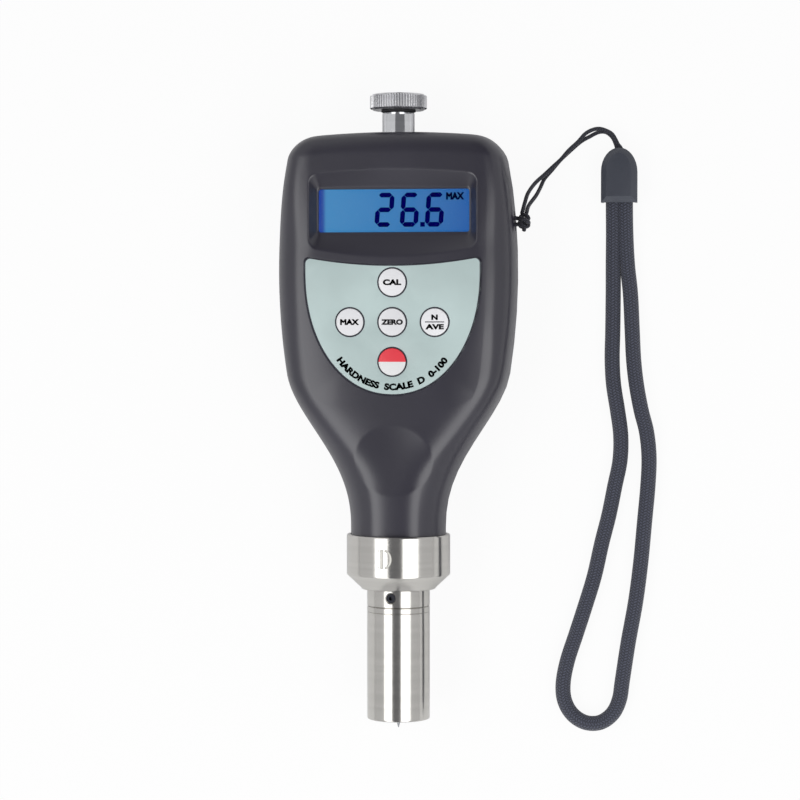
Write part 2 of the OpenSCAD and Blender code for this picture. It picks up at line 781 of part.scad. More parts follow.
module set_screw() {
    length = 1.9;
    color("#2e2f33") turned(socket_s) radial(set_screw_z, set_screw_turn)
        translate([0, 0, spigot_r + fit]) difference() {
        cylinder(h = length, d = set_screw_d);
        translate([0, 0, length / 2]) cylinder(h = length, d = set_screw_d / 2, $fn = 6);
    }
}

// Presser foot
spigot_len = collar_total - socket_depth - fit;
foot_chamfer = 0.4;
foot_line_z = 1.6;
foot_line = 0.12;
module presser_foot() {
    r = foot_d / 2;
    color("#c4c4c0") turned(foot_s) rotate_extrude() polygon([
        [foot_bore_d / 2, -spigot_len], [spigot_r, -spigot_len], [spigot_r, touch],
        [r - rim_chamfer / 2, touch], [r, rim_chamfer / 2 + touch],
        [r, foot_line_z - foot_line], [r - foot_line, foot_line_z], [r, foot_line_z + foot_line],
        [r, foot_len - foot_chamfer], [r - foot_chamfer, foot_len],
        [foot_hole_d / 2, foot_len], [foot_hole_d / 2, foot_len - foot_floor],
            [foot_bore_d / 2, foot_len - foot_floor]]);
}

// Mechanism, with places counted from the seam of the presser foot
floor_z = foot_len - foot_floor;
bush_z = floor_z - bush_len;
seat_t = 1.5;
seat_r = foot_bore_d / 2 - clear;
adjuster_t = 3;
adjuster_z = 0;
spring_len = bush_z - touch - seat_t - adjuster_z - adjuster_t;
spindle_top = -19;
pilot_len = 6;
pilot_d = 1.6;
core_d = 3.6;
core_len = 9;

module guide_bush() {
    color("#b08d4f") turned(foot_s) difference() {
        translate([0, 0, bush_z]) cylinder(h = bush_len - eps, r = foot_bore_d / 2 - running);
        translate([0, 0, bush_z - 1]) cylinder(h = bush_len + 2, d = spindle_d + 2 * running);
    }
}

pin_grip = 5;
module spindle() {
    color("#a9abad") turned(foot_s) difference() {
        rotate_extrude() polygon([
            [0, spindle_top - pilot_len], [pilot_d / 2, spindle_top - pilot_len],
                [pilot_d / 2, spindle_top],
            [spindle_d / 2, spindle_top], [spindle_d / 2, bush_z - touch - seat_t],
                [seat_r, bush_z - touch - seat_t],
            [seat_r, bush_z - touch], [spindle_d / 2, bush_z - touch], [spindle_d / 2, floor_z - clear],
                [0, floor_z - clear]]);
        translate([0, 0, floor_z - clear - pin_grip])
            cylinder(h = pin_grip + 1, d = indenter_d + 2 * eps);
    }
}

// The hardened point that presses into the work
module indenter() {
    r = indenter_d / 2;
    point_len = (r - point_d / 2) / tan(point_angle / 2);
    tip = foot_len + indenter_reach;
    color("#8d9094") turned(foot_s) rotate_extrude() polygon([
        [0, floor_z - clear - pin_grip + eps], [r, floor_z - clear - pin_grip + eps],
        [r, tip - point_len], [point_d / 2, tip], [0, tip]]);
}

module main_spring() {
    coil_r = (spindle_d / 2 + seat_r) / 2;
    color("#9b9da0") turned(foot_s)
        sweep(coil_path(coil_r, coil_r, spring_len - spring_wire - 2 * touch, spring_turns, 14),
            spring_wire, 6,
            [0, 0, adjuster_z + adjuster_t + spring_wire / 2 + touch]);
}

module spring_adjuster() {
    hole = 1;
    color("#c2a25a") turned(foot_s) translate([0, 0, adjuster_z]) difference() {
        cylinder(h = adjuster_t, r = foot_bore_d / 2 - running);
        translate([0, 0, -1]) cylinder(h = adjuster_t + 2, d = spindle_d + 4 * running);
        for (a = [0, 180]) rotate(a) translate([(spindle_d + foot_bore_d) / 4, 0, -1])
            cylinder(h = 2, d = hole, $fn = 24);
    }
}

module sensor_core() {
    color("#3a3a3c") turned(foot_s) translate([0, 0, spindle_top - core_len]) difference() {
        cylinder(h = core_len - eps, d = core_d);
        translate([0, 0, core_len - pilot_len]) cylinder(h = pilot_len + 1, d = pilot_d + 2 * eps);
    }
}

// Sensor coil, which stands on the floor of the collar's socket
bobbin_r = spindle_d / 2 + 1.4;
bobbin_bore = spindle_d / 2 + 0.5;
bobbin_flange = min(neck_r, neck_face) - wall - 2 * clear;
coil_flange_r = 7;
flange_t = 1.2;
coil_s = socket_s + socket_depth;
module coil_former() {
    color("ivory") turned(coil_s) rotate_extrude() polygon([
        [bobbin_bore, -coil_len], [coil_flange_r, -coil_len], [coil_flange_r, -coil_len + flange_t],
        [bobbin_r, -coil_len + flange_t], [bobbin_r, -flange_t], [bobbin_flange, -flange_t],
        [bobbin_flange, -eps], [bobbin_bore, -eps]]);
}

module coil_winding() {
    color("#a5572e") turned(coil_s) translate([0, 0, -coil_len + flange_t + touch]) difference() {
        cylinder(h = coil_len - 2 * flange_t - 2 * touch, r = coil_flange_r - 0.6);
        translate([0, 0, -1]) cylinder(h = coil_len, r = bobbin_r + touch);
    }
}

// Lead from the coil to the socket on the board, held along the inside of the waist
lead_d = 1.6;
lead_low = 5;
lead_straight = 3;
lead_bend = 8;
lead_rise = 0.8;
lead_sag = 2;
module sensor_lead() {
    start_y = y_at(coil_s - coil_len) + touch;
    end_y = y_at(plug_s + plug_l / 2) - touch;
    low_z = axis_z - lead_low;
    z = board_z - plug_h / 2;
    color("#7a7a80") sweep([
        [0, start_y, low_z], [0, start_y + lead_straight, low_z],
        [0, start_y + lead_bend, low_z + lead_rise],
        [0, mix(start_y, end_y, 0.55), z - lead_sag], [0, mix(start_y, end_y, 0.75), z - lead_sag / 5],
        [0, end_y - lead_straight, z], [0, end_y, z]], lead_d, 8);
}

module mount_post() {
    chamfer = 0.5;
    color("#d4d6d8") turned(0) rotate_extrude() polygon([
        [0, post_shank_len], [0, -post_h + post_bore], [thread_d / 2 + running, -post_h + post_bore],
        [thread_d / 2 + running, -post_h], [post_d / 2 - chamfer, -post_h],
            [post_d / 2, -post_h + chamfer],
        [post_d / 2, -eps], [post_shank_d / 2, -eps], [post_shank_d / 2, post_shank_len]]);
}

module post_nut() {
    color("#b9bbbd") turned(wall + touch) difference() {
        cylinder(h = post_nut_t, d = post_nut_corner_d, $fn = 6);
        translate([0, 0, -1]) cylinder(h = post_nut_t + 2, d = post_shank_d + 2 * running);
    }
}

module head_washer() {
    color("#26262a") turned(-post_h - washer_t) difference() {
        cylinder(h = washer_t - eps, d = post_d + 0.6);
        translate([0, 0, -1]) cylinder(h = washer_t + 2, d = thread_d + 4 * running);
    }
}

module thumb_screw() {
    r = head_d / 2;
    end_r1 = r - knurl_depth - head_chamfer;
    end_r2 = r - knurl_depth - touch;
    color("#cfd0d2") turned(-post_h - washer_t) union() {
        translate([0, 0, -head_h + head_chamfer]) linear_extrude(head_h - 2 * head_chamfer)
            polygon([for (i = [0:2 * knurl_count - 1])
                let(a = 180 * i / knurl_count, tooth_r = i % 2 == 0 ? r : r - knurl_depth)
                [tooth_r * cos(a), tooth_r * sin(a)]]);
        translate([0, 0, -head_h]) rotate_extrude() polygon([
            [0, 0], [end_r1, 0], [end_r2, head_chamfer], [end_r2, head_h - head_chamfer],
                [end_r1, head_h - eps], [0, head_h - eps]]);
        translate([0, 0, -1]) cylinder(h = 1 + washer_t + thread_len, d = thread_d);
    }
}

module strap_pin() {
    color("silver") at(eye_pin_x, strap_eye_s) translate([0, 0, axis_z])
        cylinder(h = eye_pin_len - 2 * touch, d = eye_pin_d, center = true);
}

// Wrist strap, laid on the surface beside the case
knot_r = 2.1;
knot_x = eye_x + knot_r + 0.4;
knot_y = y_at(strap_eye_s);
loop_r = eye_pin_d / 2 + string_d / 2 + 0.1;
module strap_knot() {
    color("#2b2c32") translate([0, knot_y, axis_z]) {
        translate([knot_x, 0, 0]) sphere(r = knot_r);
        translate([eye_pin_x, 0, 0]) rotate([0, 0, 90]) rotate_extrude(angle = 180)
            translate([loop_r, 0]) circle(d = string_d, $fn = 24);
        for (side = [-1, 1]) translate([eye_pin_x, side * loop_r, 0]) rotate([0, 90, 0])
            cylinder(h = knot_x - eye_pin_x, d = string_d, $fn = 24);
    }
}

clip_x = 59.9;
clip_top_y = 72.55;
clip_dome = 6.5;
clip_bevel = 1.6;
clip_z = clip_t / 2;
strap_gap = strap_d + 0.3;
strap_z = strap_d / 2;
string_hole_d = 2 * string_d + 0.5;
strap_entry = 2.2;
clip_end_y = clip_top_y - clip_len;
module clip_outline() {
    half = clip_w / 2;
    polygon(concat(
        [[-half, -clip_len], [half, -clip_len]],
        [for (i = [0:16]) let(a = 180 * i / 16) [half * cos(a), -clip_dome + clip_dome * sin(a)]]));
}
module strap_clip() {
    color("#303136") difference() {
        translate([clip_x, clip_top_y, 0]) hull() {
            translate([0, 0, clip_bevel]) linear_extrude(clip_t - 2 * clip_bevel) clip_outline();
            linear_extrude(clip_t) offset(delta = -clip_bevel) clip_outline();
        }
        translate([clip_x, clip_end_y - 1, strap_z]) for (side = [-1, 1])
            translate([side * strap_gap / 2, 0, 0]) rotate([-90, 0, 0])
                cylinder(h = 1 + strap_entry, d = strap_d + 2 * touch);
        translate([clip_x, clip_top_y - 4, clip_z]) rotate([-90, 0, 0])
            cylinder(h = 6, d = string_hole_d);
    }
}

// Route of the braided loop, from one socket of the clip round to the other
strap_route = [
    [57.8, 48.35], [57.8, 40.35], [57.9, 32.35], [57.8, 22.35], [57.8, 14.35], [58.4, 7.35],
    [59.5, 0.35], [60.4, -6.65], [60.2, -13.65], [58.8, -20.65], [57.2, -28.65], [55.2, -36.65],
    [53.2, -45.65], [50.8, -53.65], [48.2, -61.77], [45.8, -69.19], [44.6, -75.55], [45, -80.43],
    [47.2, -84.25], [50.8, -86.45], [54.9, -86.35], [58.3, -83.85], [60.2, -79.79], [61, -74.49],
    [62.6, -63.89], [64.6, -52.65], [66, -41.65], [67, -30.65], [67.9, -20.65], [68.2, -12.65],
    [67.5, -5.65], [66, 0.35], [64.7, 7.35], [63.9, 14.35], [63.5, 22.35], [63, 32.35],
    [62.3, 40.35], [62.2, 48.35]];
module strap_loop() {
    start = clip_end_y + strap_entry - touch;
    ends = [clip_x - strap_gap / 2, clip_x + strap_gap / 2];
    color("#34353d") sweep(concat(
        [[ends[0], start, strap_z], [ends[0], clip_end_y - 2, strap_z]],
        [for (p = strap_route) [p[0], p[1], strap_z]],
        [[ends[1], clip_end_y - 2, strap_z], [ends[1], start, strap_z]]), strap_d, 8);
}

// Routes of the two strands of the thin string, from the knot to the hole of the clip
string_start = [knot_x, knot_y + knot_r + touch, axis_z];
string_end = [clip_x, clip_top_y - 4 + touch, clip_z];
string_low = [
    [35.5, 56.5, 11], [37.2, 59.4, 7], [38.2, 61.8, 4], [39.2, 64.3, 1.9], [41.2, 66.8, 0.65],
    [43.6, 69.6, 0.6], [46.5, 72.3, 0.6], [49.2, 74.6, 0.6], [51.5, 75.9, 0.6], [53.9, 76.9, 0.7],
    [55.8, 76.9, 1.2], [57.2, 76, 2], [58.2, 74.5, 3]];
string_high = [
    [34.5, 57.2, 12], [35.2, 60, 9.4], [36.9, 62.9, 6], [39.3, 65.4, 3.2], [41.5, 67.6, 1.95],
    [43.8, 69.7, 1.9], [45.8, 72, 1.9], [48.5, 74.5, 1.9], [50.4, 76.6, 1.9], [52.4, 77.7, 2],
    [54.3, 78.1, 2.2], [56.1, 77.7, 2.6], [58, 76.8, 3.2], [59.1, 75.3, 3.5], [60, 73.8, 3.5]];
string_side = string_d / 2 + touch;
string_lead_in = 3.4;
module string_strand(route, side) {
    color("#2b2c32") sweep(concat(
        [string_start - [side * string_side, 0, 0]], route,
        [string_end + [side * string_side, string_lead_in, 0], string_end + [side * string_side, 0, 0]]),
        string_d, 8);
}

front_shell();
rear_shell();
battery_door();
lcd_window();
lcd_glass();
lcd_backlight();
contact_strips();
display_frame();
main_board();
board_chips();
sensor_socket();
board_fixings();
case_fixings();
keypad_panel();
key_domes();
contact_plates();
contact_springs();
collar();
set_screw();
presser_foot();
guide_bush();
spindle();
indenter();
main_spring();
spring_adjuster();
sensor_core();
coil_former();
coil_winding();
sensor_lead();
mount_post();
post_nut();
head_washer();
thumb_screw();
strap_pin();
strap_knot();
strap_clip();
strap_loop();
string_strand(string_low, -1);
string_strand(string_high, 1);
for (k = KEYS) key(k);
for (i = [1:cell_count]) battery(i - 1);
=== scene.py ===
# %% [markdown]
# # A pocket durometer
# The instrument lies on its back and is seen from above: a dark bottle-shaped case, a blue
# display, a pale keypad, a turned steel collar and foot, a knurled thumb screw and a wrist strap.
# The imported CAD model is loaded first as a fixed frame. The cells after that make the materials,
# the light and the new pieces, and dress the CAD pieces that stay.

# %% Load the frame
import json
import math

import bmesh
import bpy
from mathutils import Matrix, Vector
from mathutils.geometry import delaunay_2d_cdt

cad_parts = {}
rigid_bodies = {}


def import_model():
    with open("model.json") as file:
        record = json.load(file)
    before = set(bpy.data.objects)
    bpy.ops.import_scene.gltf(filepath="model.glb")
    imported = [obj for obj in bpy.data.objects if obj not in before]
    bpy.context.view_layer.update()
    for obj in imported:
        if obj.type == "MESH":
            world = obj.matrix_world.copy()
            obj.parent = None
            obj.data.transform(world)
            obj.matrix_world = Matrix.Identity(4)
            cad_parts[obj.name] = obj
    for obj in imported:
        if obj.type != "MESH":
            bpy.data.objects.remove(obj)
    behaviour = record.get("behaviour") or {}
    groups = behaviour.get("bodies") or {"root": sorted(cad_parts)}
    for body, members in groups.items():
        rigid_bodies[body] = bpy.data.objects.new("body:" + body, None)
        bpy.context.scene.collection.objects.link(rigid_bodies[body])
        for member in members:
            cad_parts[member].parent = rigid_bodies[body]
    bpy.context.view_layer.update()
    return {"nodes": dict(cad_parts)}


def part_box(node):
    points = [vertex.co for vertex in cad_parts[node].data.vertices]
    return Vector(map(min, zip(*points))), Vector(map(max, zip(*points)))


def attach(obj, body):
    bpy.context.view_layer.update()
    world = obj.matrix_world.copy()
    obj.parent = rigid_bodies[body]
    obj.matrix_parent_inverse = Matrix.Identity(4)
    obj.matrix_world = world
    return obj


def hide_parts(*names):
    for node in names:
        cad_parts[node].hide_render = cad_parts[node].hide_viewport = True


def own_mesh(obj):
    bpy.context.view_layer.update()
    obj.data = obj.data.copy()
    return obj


for leftover in list(bpy.data.objects):
    bpy.data.objects.remove(leftover)
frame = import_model()
nodes = frame["nodes"]

# %% [markdown]
# ## Sizes
# The CAD source is in millimetres, so this script thinks in millimetres too. Finished objects could
# be scaled down, but then their modifiers would work at the wrong size, so points become Blender's
# metres as a mesh is made. Distances called s run down the instrument from the top of the case, as a
# drawing of it would give them.

# %% Sizes shared by the pieces
MM = 0.001
CASE_W, CASE_LEN, CASE_T = 65.0, 109.5, 28.0
WIDEST_S, SIDE_R, TOP_R, END_R = 37.5, 180.0, 264.0, 6.0
WAIST_S, WAIST_LEN = 65.5, 42.0
NECK_R, NECK_FACE = 13.05, 12.4
SQUARENESS, SIDE_SQUARENESS, FACE_SOFT = 4.4, 3.4, 1.4
FRONT_OVER = 2.4
COLLAR_R, COLLAR_LEN, TAPER_LEN, COLLAR_NECK_LEN = 14.2, 11.0, 4.1, 4.7
FOOT_R, FOOT_LEN = 8.6, 31.1
AXIS_Z = COLLAR_R
TOP_Y = 76.05
FRONT_H = CASE_T - AXIS_Z
FOOT_S = CASE_LEN + COLLAR_LEN + TAPER_LEN + COLLAR_NECK_LEN


def y_at(s):
    return TOP_Y - s


def mesh_piece(name, points, faces, smooth=True):
    """A mesh object from points in millimetres."""
    mesh = bpy.data.meshes.new(name)
    mesh.from_pydata([(x * MM, y * MM, z * MM) for x, y, z in points], [], faces)
    mesh.validate()
    if smooth:
        mesh.shade_smooth()
    piece = bpy.data.objects.new(name, mesh)
    bpy.context.scene.collection.objects.link(piece)
    return piece


print("foot starts at s =", FOOT_S, "and the axis is", AXIS_Z, "mm up")

# %% [markdown]
# ## Camera
# The photograph looks almost straight down on the instrument from about 700 mm, a little from its
# right and from level with its keys. An orthographic camera would be simpler, but it would lose the slight
# perspective, so this is a long lens at that distance. Its length follows from the scale at the
# axis, and its axes are set directly so that the picture has no roll.

# %% Camera
MM_PER_PIXEL = 0.2745
IMAGE_SIZE = 800
SENSOR_W = 36.0
CAMERA_DISTANCE = 700.0
CAMERA_YAW = math.radians(7.0)
CAMERA_ABOVE = 17.0
target = Vector((0.41, 3.25, AXIS_Z))
eye = target + Vector((
    CAMERA_DISTANCE * math.sin(CAMERA_YAW), CAMERA_ABOVE, CAMERA_DISTANCE * math.cos(CAMERA_YAW)))
camera_data = bpy.data.cameras.new("photo_camera")
camera_data.sensor_width = SENSOR_W
camera_data.lens = SENSOR_W * (eye - target).length / (IMAGE_SIZE * MM_PER_PIXEL)
camera_data.clip_start = 0.05
camera = bpy.data.objects.new("photo_camera", camera_data)
bpy.context.scene.collection.objects.link(camera)
camera.location = eye * MM
back = (eye - target).normalized()
right = Vector((0, 1, 0)).cross(back).normalized()
camera.rotation_euler = Matrix((right, back.cross(right), back)).transposed().to_euler()
bpy.context.scene.camera = camera
print("lens:", round(camera_data.lens, 1), "mm at", [round(v) for v in eye])

# %% [markdown]
# ## Helpers for materials
# Colours are read off as 0-255 screen values and turned into the linear values that a shader
# takes. Nodes could be wired by hand in the shader editor, but small functions make the same wiring
# readable in code: here one starts a shared group with named sockets, and one does arithmetic.

# %% Colour and node helpers


def linear(r, g, b):
    def one(v):
        v /= 255.0
        return v / 12.92 if v <= 0.04045 else ((v + 0.055) / 1.055) ** 2.4
    return (one(r), one(g), one(b), 1.0)


def new_group(name, inputs, outputs):
    """An empty shader node group with named value inputs and outputs."""
    group = bpy.data.node_groups.new(name, "ShaderNodeTree")
    for label, default in inputs:
        socket = group.interface.new_socket(label, in_out="INPUT", socket_type="NodeSocketFloat")
        socket.default_value = default
    for label, kind in outputs:
        group.interface.new_socket(label, in_out="OUTPUT", socket_type=kind)
    start = group.nodes.new("NodeGroupInput")
    end = group.nodes.new("NodeGroupOutput")
    return group, start, end


def math_node(tree, operation, a, b=None, clamp=False):
    node = tree.nodes.new("ShaderNodeMath")
    node.operation = operation
    node.use_clamp = clamp
    for socket, value in zip(node.inputs, (a, b)):
        if value is None:
            continue
        if isinstance(value, (int, float)):
            socket.default_value = value
        else:
            tree.links.new(value, socket)
    return node.outputs[0]


print("mid grey is", round(linear(128, 128, 128)[0], 3), "as a linear value")

# %% [markdown]
# ## Helpers that fill a material
# Most materials here need the same links: a shared group, a ramp between two colours, a range of
# values and a bump. Written out each time they would hide what differs, so each of them is one call.

# %% Material helpers


def new_material(name):
    material = bpy.data.materials.new(name)
    material.use_nodes = True
    tree = material.node_tree
    return material, tree, tree.nodes["Principled BSDF"]


def place_group(tree, group, **values):
    node = tree.nodes.new("ShaderNodeGroup")
    node.node_tree = group
    for label, value in values.items():
        node.inputs[label.replace("_", " ")].default_value = value
    return node


def ramp(tree, factor, low, high, start=0.0, stop=1.0):
    """A colour that goes from low to high as factor goes from start to stop."""
    node = tree.nodes.new("ShaderNodeValToRGB")
    node.color_ramp.elements[0].position = start
    node.color_ramp.elements[0].color = low
    node.color_ramp.elements[1].position = stop
    node.color_ramp.elements[1].color = high
    tree.links.new(factor, node.inputs["Fac"])
    return node.outputs["Color"]


def value_range(tree, factor, low, high):
    node = tree.nodes.new("ShaderNodeMapRange")
    node.inputs["To Min"].default_value = low
    node.inputs["To Max"].default_value = high
    tree.links.new(factor, node.inputs["Value"])
    return node.outputs["Result"]


def add_bump(tree, shader, height, distance, strength=1.0):
    node = tree.nodes.new("ShaderNodeBump")
    node.inputs["Strength"].default_value = strength
    node.inputs["Distance"].default_value = distance
    tree.links.new(height, node.inputs["Height"])
    tree.links.new(node.outputs["Normal"], shader.inputs["Normal"])


print("material helpers ready")

# %% [markdown]
# ## Grain of moulded plastic
# A moulded case copies the fine grain of its mould, and is never quite even. An image could carry
# that, but it would need a layout and would blur up close. Noise has neither fault, so this group
# gives a fine height for the bump and a slow cloud for colour and roughness.

# %% Moulded grain group
grain, grain_in, grain_out = new_group(
    "moulded_grain", [("Grain Size", 0.0003), ("Cloud Size", 0.02)],
    [("Height", "NodeSocketFloat"), ("Cloud", "NodeSocketFloat")])
place = grain.nodes.new("ShaderNodeTexCoord")
fine = grain.nodes.new("ShaderNodeTexNoise")
fine.inputs["Detail"].default_value = 3.0
cloud = grain.nodes.new("ShaderNodeTexNoise")
cloud.inputs["Detail"].default_value = 4.0
for texture, label in ((fine, "Grain Size"), (cloud, "Cloud Size")):
    grain.links.new(place.outputs["Object"], texture.inputs["Vector"])
    grain.links.new(math_node(grain, "DIVIDE", 1.0, grain_in.outputs[label]), texture.inputs["Scale"])
grain.links.new(fine.outputs["Fac"], grain_out.inputs["Height"])
grain.links.new(cloud.outputs["Fac"], grain_out.inputs["Cloud"])
print("group:", grain.name)

# %% [markdown]
# ## Rubbed edges and a painted highlight
# Hands polish the edges of a clip until they look paler, and its sharp edges catch the light, so the
# paler colour here is partly wear and partly a painted highlight. That could be painted on as a
# texture, but Cycles already knows how sharp each place is: its Pointiness. The group takes what lies
# past a start value and breaks it up with noise, so that the paler edge isn't an even line.

# %% Edge wear and painted highlight group
wear_and_highlight, wear_and_highlight_in, wear_and_highlight_out = new_group(
    "edge_wear_and_highlight", [("Start", 0.52), ("Amount", 1.0)], [("Mask", "NodeSocketFloat")])
shape = wear_and_highlight.nodes.new("ShaderNodeNewGeometry")
mask_breakup = wear_and_highlight.nodes.new("ShaderNodeTexNoise")
mask_breakup.inputs["Scale"].default_value = 700.0
past = math_node(wear_and_highlight, "SUBTRACT", shape.outputs["Pointiness"], wear_and_highlight_in.outputs["Start"])
worn_and_lit = math_node(wear_and_highlight, "MULTIPLY", past, 14.0, clamp=True)
broken = math_node(wear_and_highlight, "MULTIPLY", worn_and_lit, mask_breakup.outputs["Fac"])
wear_and_highlight.links.new(math_node(wear_and_highlight, "MULTIPLY", broken, wear_and_highlight_in.outputs["Amount"]), wear_and_highlight_out.inputs["Mask"])
print("group:", wear_and_highlight.name)

# %% [markdown]
# ## Turning lines
# A lathe leaves fine rings round a turned piece. As geometry they would cost far too many faces,
# so they are noise that changes along the instrument's axis and nowhere else. The fine lines go to
# the bump and the roughness, and slow bands tint the colour.

# %% Turning lines group
turning, turning_in, turning_out = new_group(
    "turning_lines", [("Line Pitch", 0.00012)], [("Height", "NodeSocketFloat"), ("Band", "NodeSocketFloat")])
place = turning.nodes.new("ShaderNodeTexCoord")
split = turning.nodes.new("ShaderNodeSeparateXYZ")
turning.links.new(place.outputs["Object"], split.inputs["Vector"])
along = math_node(turning, "DIVIDE", split.outputs["Y"], turning_in.outputs["Line Pitch"])
lines = turning.nodes.new("ShaderNodeTexNoise")
lines.noise_dimensions = "1D"
lines.inputs["Detail"].default_value = 3.0
lines.inputs["Scale"].default_value = 1.0
turning.links.new(along, lines.inputs["W"])
bands = turning.nodes.new("ShaderNodeTexNoise")
bands.noise_dimensions = "1D"
bands.inputs["Scale"].default_value = 0.05
turning.links.new(along, bands.inputs["W"])
turning.links.new(lines.outputs["Fac"], turning_out.inputs["Height"])
turning.links.new(bands.outputs["Fac"], turning_out.inputs["Band"])
print("group:", turning.name)

# %% [markdown]
# ## Braid
# A braided cord shows columns of slanted stitches, each column leaning against the next. The yarns
# could be modelled one by one, but this cord is only 4 mm thick, so arithmetic on the tube's UVs
# draws them: columns from the way round, stitches from the way along.

# %% Braid group
braid, braid_in, braid_out = new_group(
    "braid", [("Columns Round", 12.0), ("Stitches Along", 1300.0), ("Slant", 0.5)],
    [("Height", "NodeSocketFloat")])
place = braid.nodes.new("ShaderNodeTexCoord")
split = braid.nodes.new("ShaderNodeSeparateXYZ")
braid.links.new(place.outputs["UV"], split.inputs["Vector"])
around = math_node(braid, "MULTIPLY", split.outputs["X"], braid_in.outputs["Columns Round"])
in_column = math_node(braid, "FRACT", around)
from_middle = math_node(braid, "SUBTRACT", in_column, 0.5)
odd_column = math_node(braid, "FLOORED_MODULO", math_node(braid, "FLOOR", around), 2.0)
lean_sign = math_node(braid, "SUBTRACT", math_node(braid, "MULTIPLY", odd_column, 2.0), 1.0)
leaning = math_node(braid, "MULTIPLY", math_node(braid, "MULTIPLY", from_middle, lean_sign),
                    braid_in.outputs["Slant"])
along = math_node(braid, "MULTIPLY", split.outputs["Y"], braid_in.outputs["Stitches Along"])
shifted = math_node(braid, "ADD", math_node(braid, "ADD", along, leaning),
                    math_node(braid, "MULTIPLY", odd_column, 0.5))
wave = math_node(braid, "COSINE", math_node(braid, "MULTIPLY", shifted, 2.0 * math.pi))
rib = math_node(braid, "MULTIPLY", math_node(braid, "ADD", wave, 1.0), 0.5)
edge = math_node(braid, "MULTIPLY", math_node(braid, "ABSOLUTE", from_middle), 2.0)
crown = math_node(braid, "SUBTRACT", 1.0, math_node(braid, "POWER", edge, 3.0))
braid.links.new(math_node(braid, "MULTIPLY", rib, crown), braid_out.inputs["Height"])
print("group:", braid.name)

# %% [markdown]
# ## Plastics
# The case is satin plastic: a dark base with a fine grain, slightly cloudy. One function makes
# every plastic, so that they differ only in colour, gloss and paler edges that are partly wear and
# partly a painted highlight. Where the cloud took the roughness to and fro across about 0.27, thin
# lines showed in the denoised render, so the case and the clip are kept a little rougher than that.

# %% Plastics
PLASTIC_CLOUD = 0.04


def moulded_plastic(name, colour, roughness, grain_size=0.00035, grain_depth=0.00001,
                    wear_and_highlight_colour=None, gloss=0.5):
    material, tree, shader = new_material(name)
    shader.inputs["Specular IOR Level"].default_value = gloss
    texture = place_group(tree, grain, Grain_Size=grain_size)
    low = tuple(v * 0.92 for v in colour[:3]) + (1.0,)
    high = tuple(min(v * 1.08, 1.0) for v in colour[:3]) + (1.0,)
    base = ramp(tree, texture.outputs["Cloud"], low, high, 0.3, 0.7)
    # Paler sharp edges: partly wear and partly a painted highlight.
    if wear_and_highlight_colour:
        rubbed_and_lit_edges = place_group(tree, wear_and_highlight)
        mix = tree.nodes.new("ShaderNodeMix")
        mix.data_type = "RGBA"
        tree.links.new(rubbed_and_lit_edges.outputs["Mask"], mix.inputs["Factor"])
        tree.links.new(base, mix.inputs[6])
        mix.inputs[7].default_value = wear_and_highlight_colour
        base = mix.outputs[2]
    tree.links.new(base, shader.inputs["Base Color"])
    rough_range = (roughness - PLASTIC_CLOUD, roughness + PLASTIC_CLOUD)
    tree.links.new(value_range(tree, texture.outputs["Cloud"], *rough_range), shader.inputs["Roughness"])
    add_bump(tree, shader, texture.outputs["Height"], grain_depth)
    return material


case_plastic = moulded_plastic("case_plastic", linear(41, 39, 51), 0.3, gloss=0.85)
door_plastic = moulded_plastic("door_plastic", linear(40, 38, 49), 0.33, gloss=0.75)
# The clip's paler edges are partly wear and partly a painted highlight along its bevels.
clip_plastic = moulded_plastic(
    "clip_plastic", linear(66, 69, 78), 0.31, wear_and_highlight_colour=linear(112, 116, 124), gloss=0.4)
panel_film = moulded_plastic(
    "panel_film", linear(188, 206, 204), 0.5, grain_size=0.0005, grain_depth=0.000004)
key_plastic = moulded_plastic("key_plastic", linear(235, 235, 237), 0.4, grain_depth=0.000004)
inner_plastic = moulded_plastic("inner_plastic", linear(214, 205, 178), 0.5)
frame_plastic = moulded_plastic("frame_plastic", linear(44, 44, 48), 0.5)
print("plastics made")

# %% [markdown]
# ## Metals
# The collar and foot are bright turned steel, the post and thumb screw are plated, and brass, zinc
# and copper are inside. Scratches could be painted, but a metal's look is mostly what it mirrors, so
# the material stays simple: a colour, a low roughness, and the turning lines to break up the
# highlights a little.

# %% Metals


def turned_metal(name, colour, roughness, pitch=0.00012, depth=0.0000015):
    material, tree, shader = new_material(name)
    shader.inputs["Metallic"].default_value = 1.0
    lines = place_group(tree, turning, Line_Pitch=pitch)
    low = tuple(v * 0.94 for v in colour[:3]) + (1.0,)
    tree.links.new(ramp(tree, lines.outputs["Band"], low, colour, 0.35, 0.65), shader.inputs["Base Color"])
    rough_range = (roughness * 0.8, roughness * 1.25)
    tree.links.new(value_range(tree, lines.outputs["Height"], *rough_range), shader.inputs["Roughness"])
    add_bump(tree, shader, lines.outputs["Height"], depth)
    return material


steel = turned_metal("turned_steel", linear(205, 203, 198), 0.16)
chrome = turned_metal("plated_post", linear(228, 229, 231), 0.1, depth=0.0000006)
knurl_plate = turned_metal("knurl_plate", linear(228, 228, 230), 0.2)
hard_steel = turned_metal("hard_steel", linear(150, 152, 156), 0.25)
brass = turned_metal("brass", linear(196, 160, 92), 0.28)
wire_steel = turned_metal("wire_steel", linear(168, 170, 173), 0.3)
zinc = turned_metal("zinc_screws", linear(178, 179, 182), 0.32)
copper = turned_metal("copper_wire", linear(178, 98, 52), 0.35, pitch=0.0002, depth=0.00004)
print("metals made")

# %% [markdown]
# ## Small plain finishes
# Rubber, print, letter fill and the board are small in the picture or hidden, so each is one colour
# with a faint cloud in its roughness. A richer material for each would be work that nobody sees.

# %% Small materials


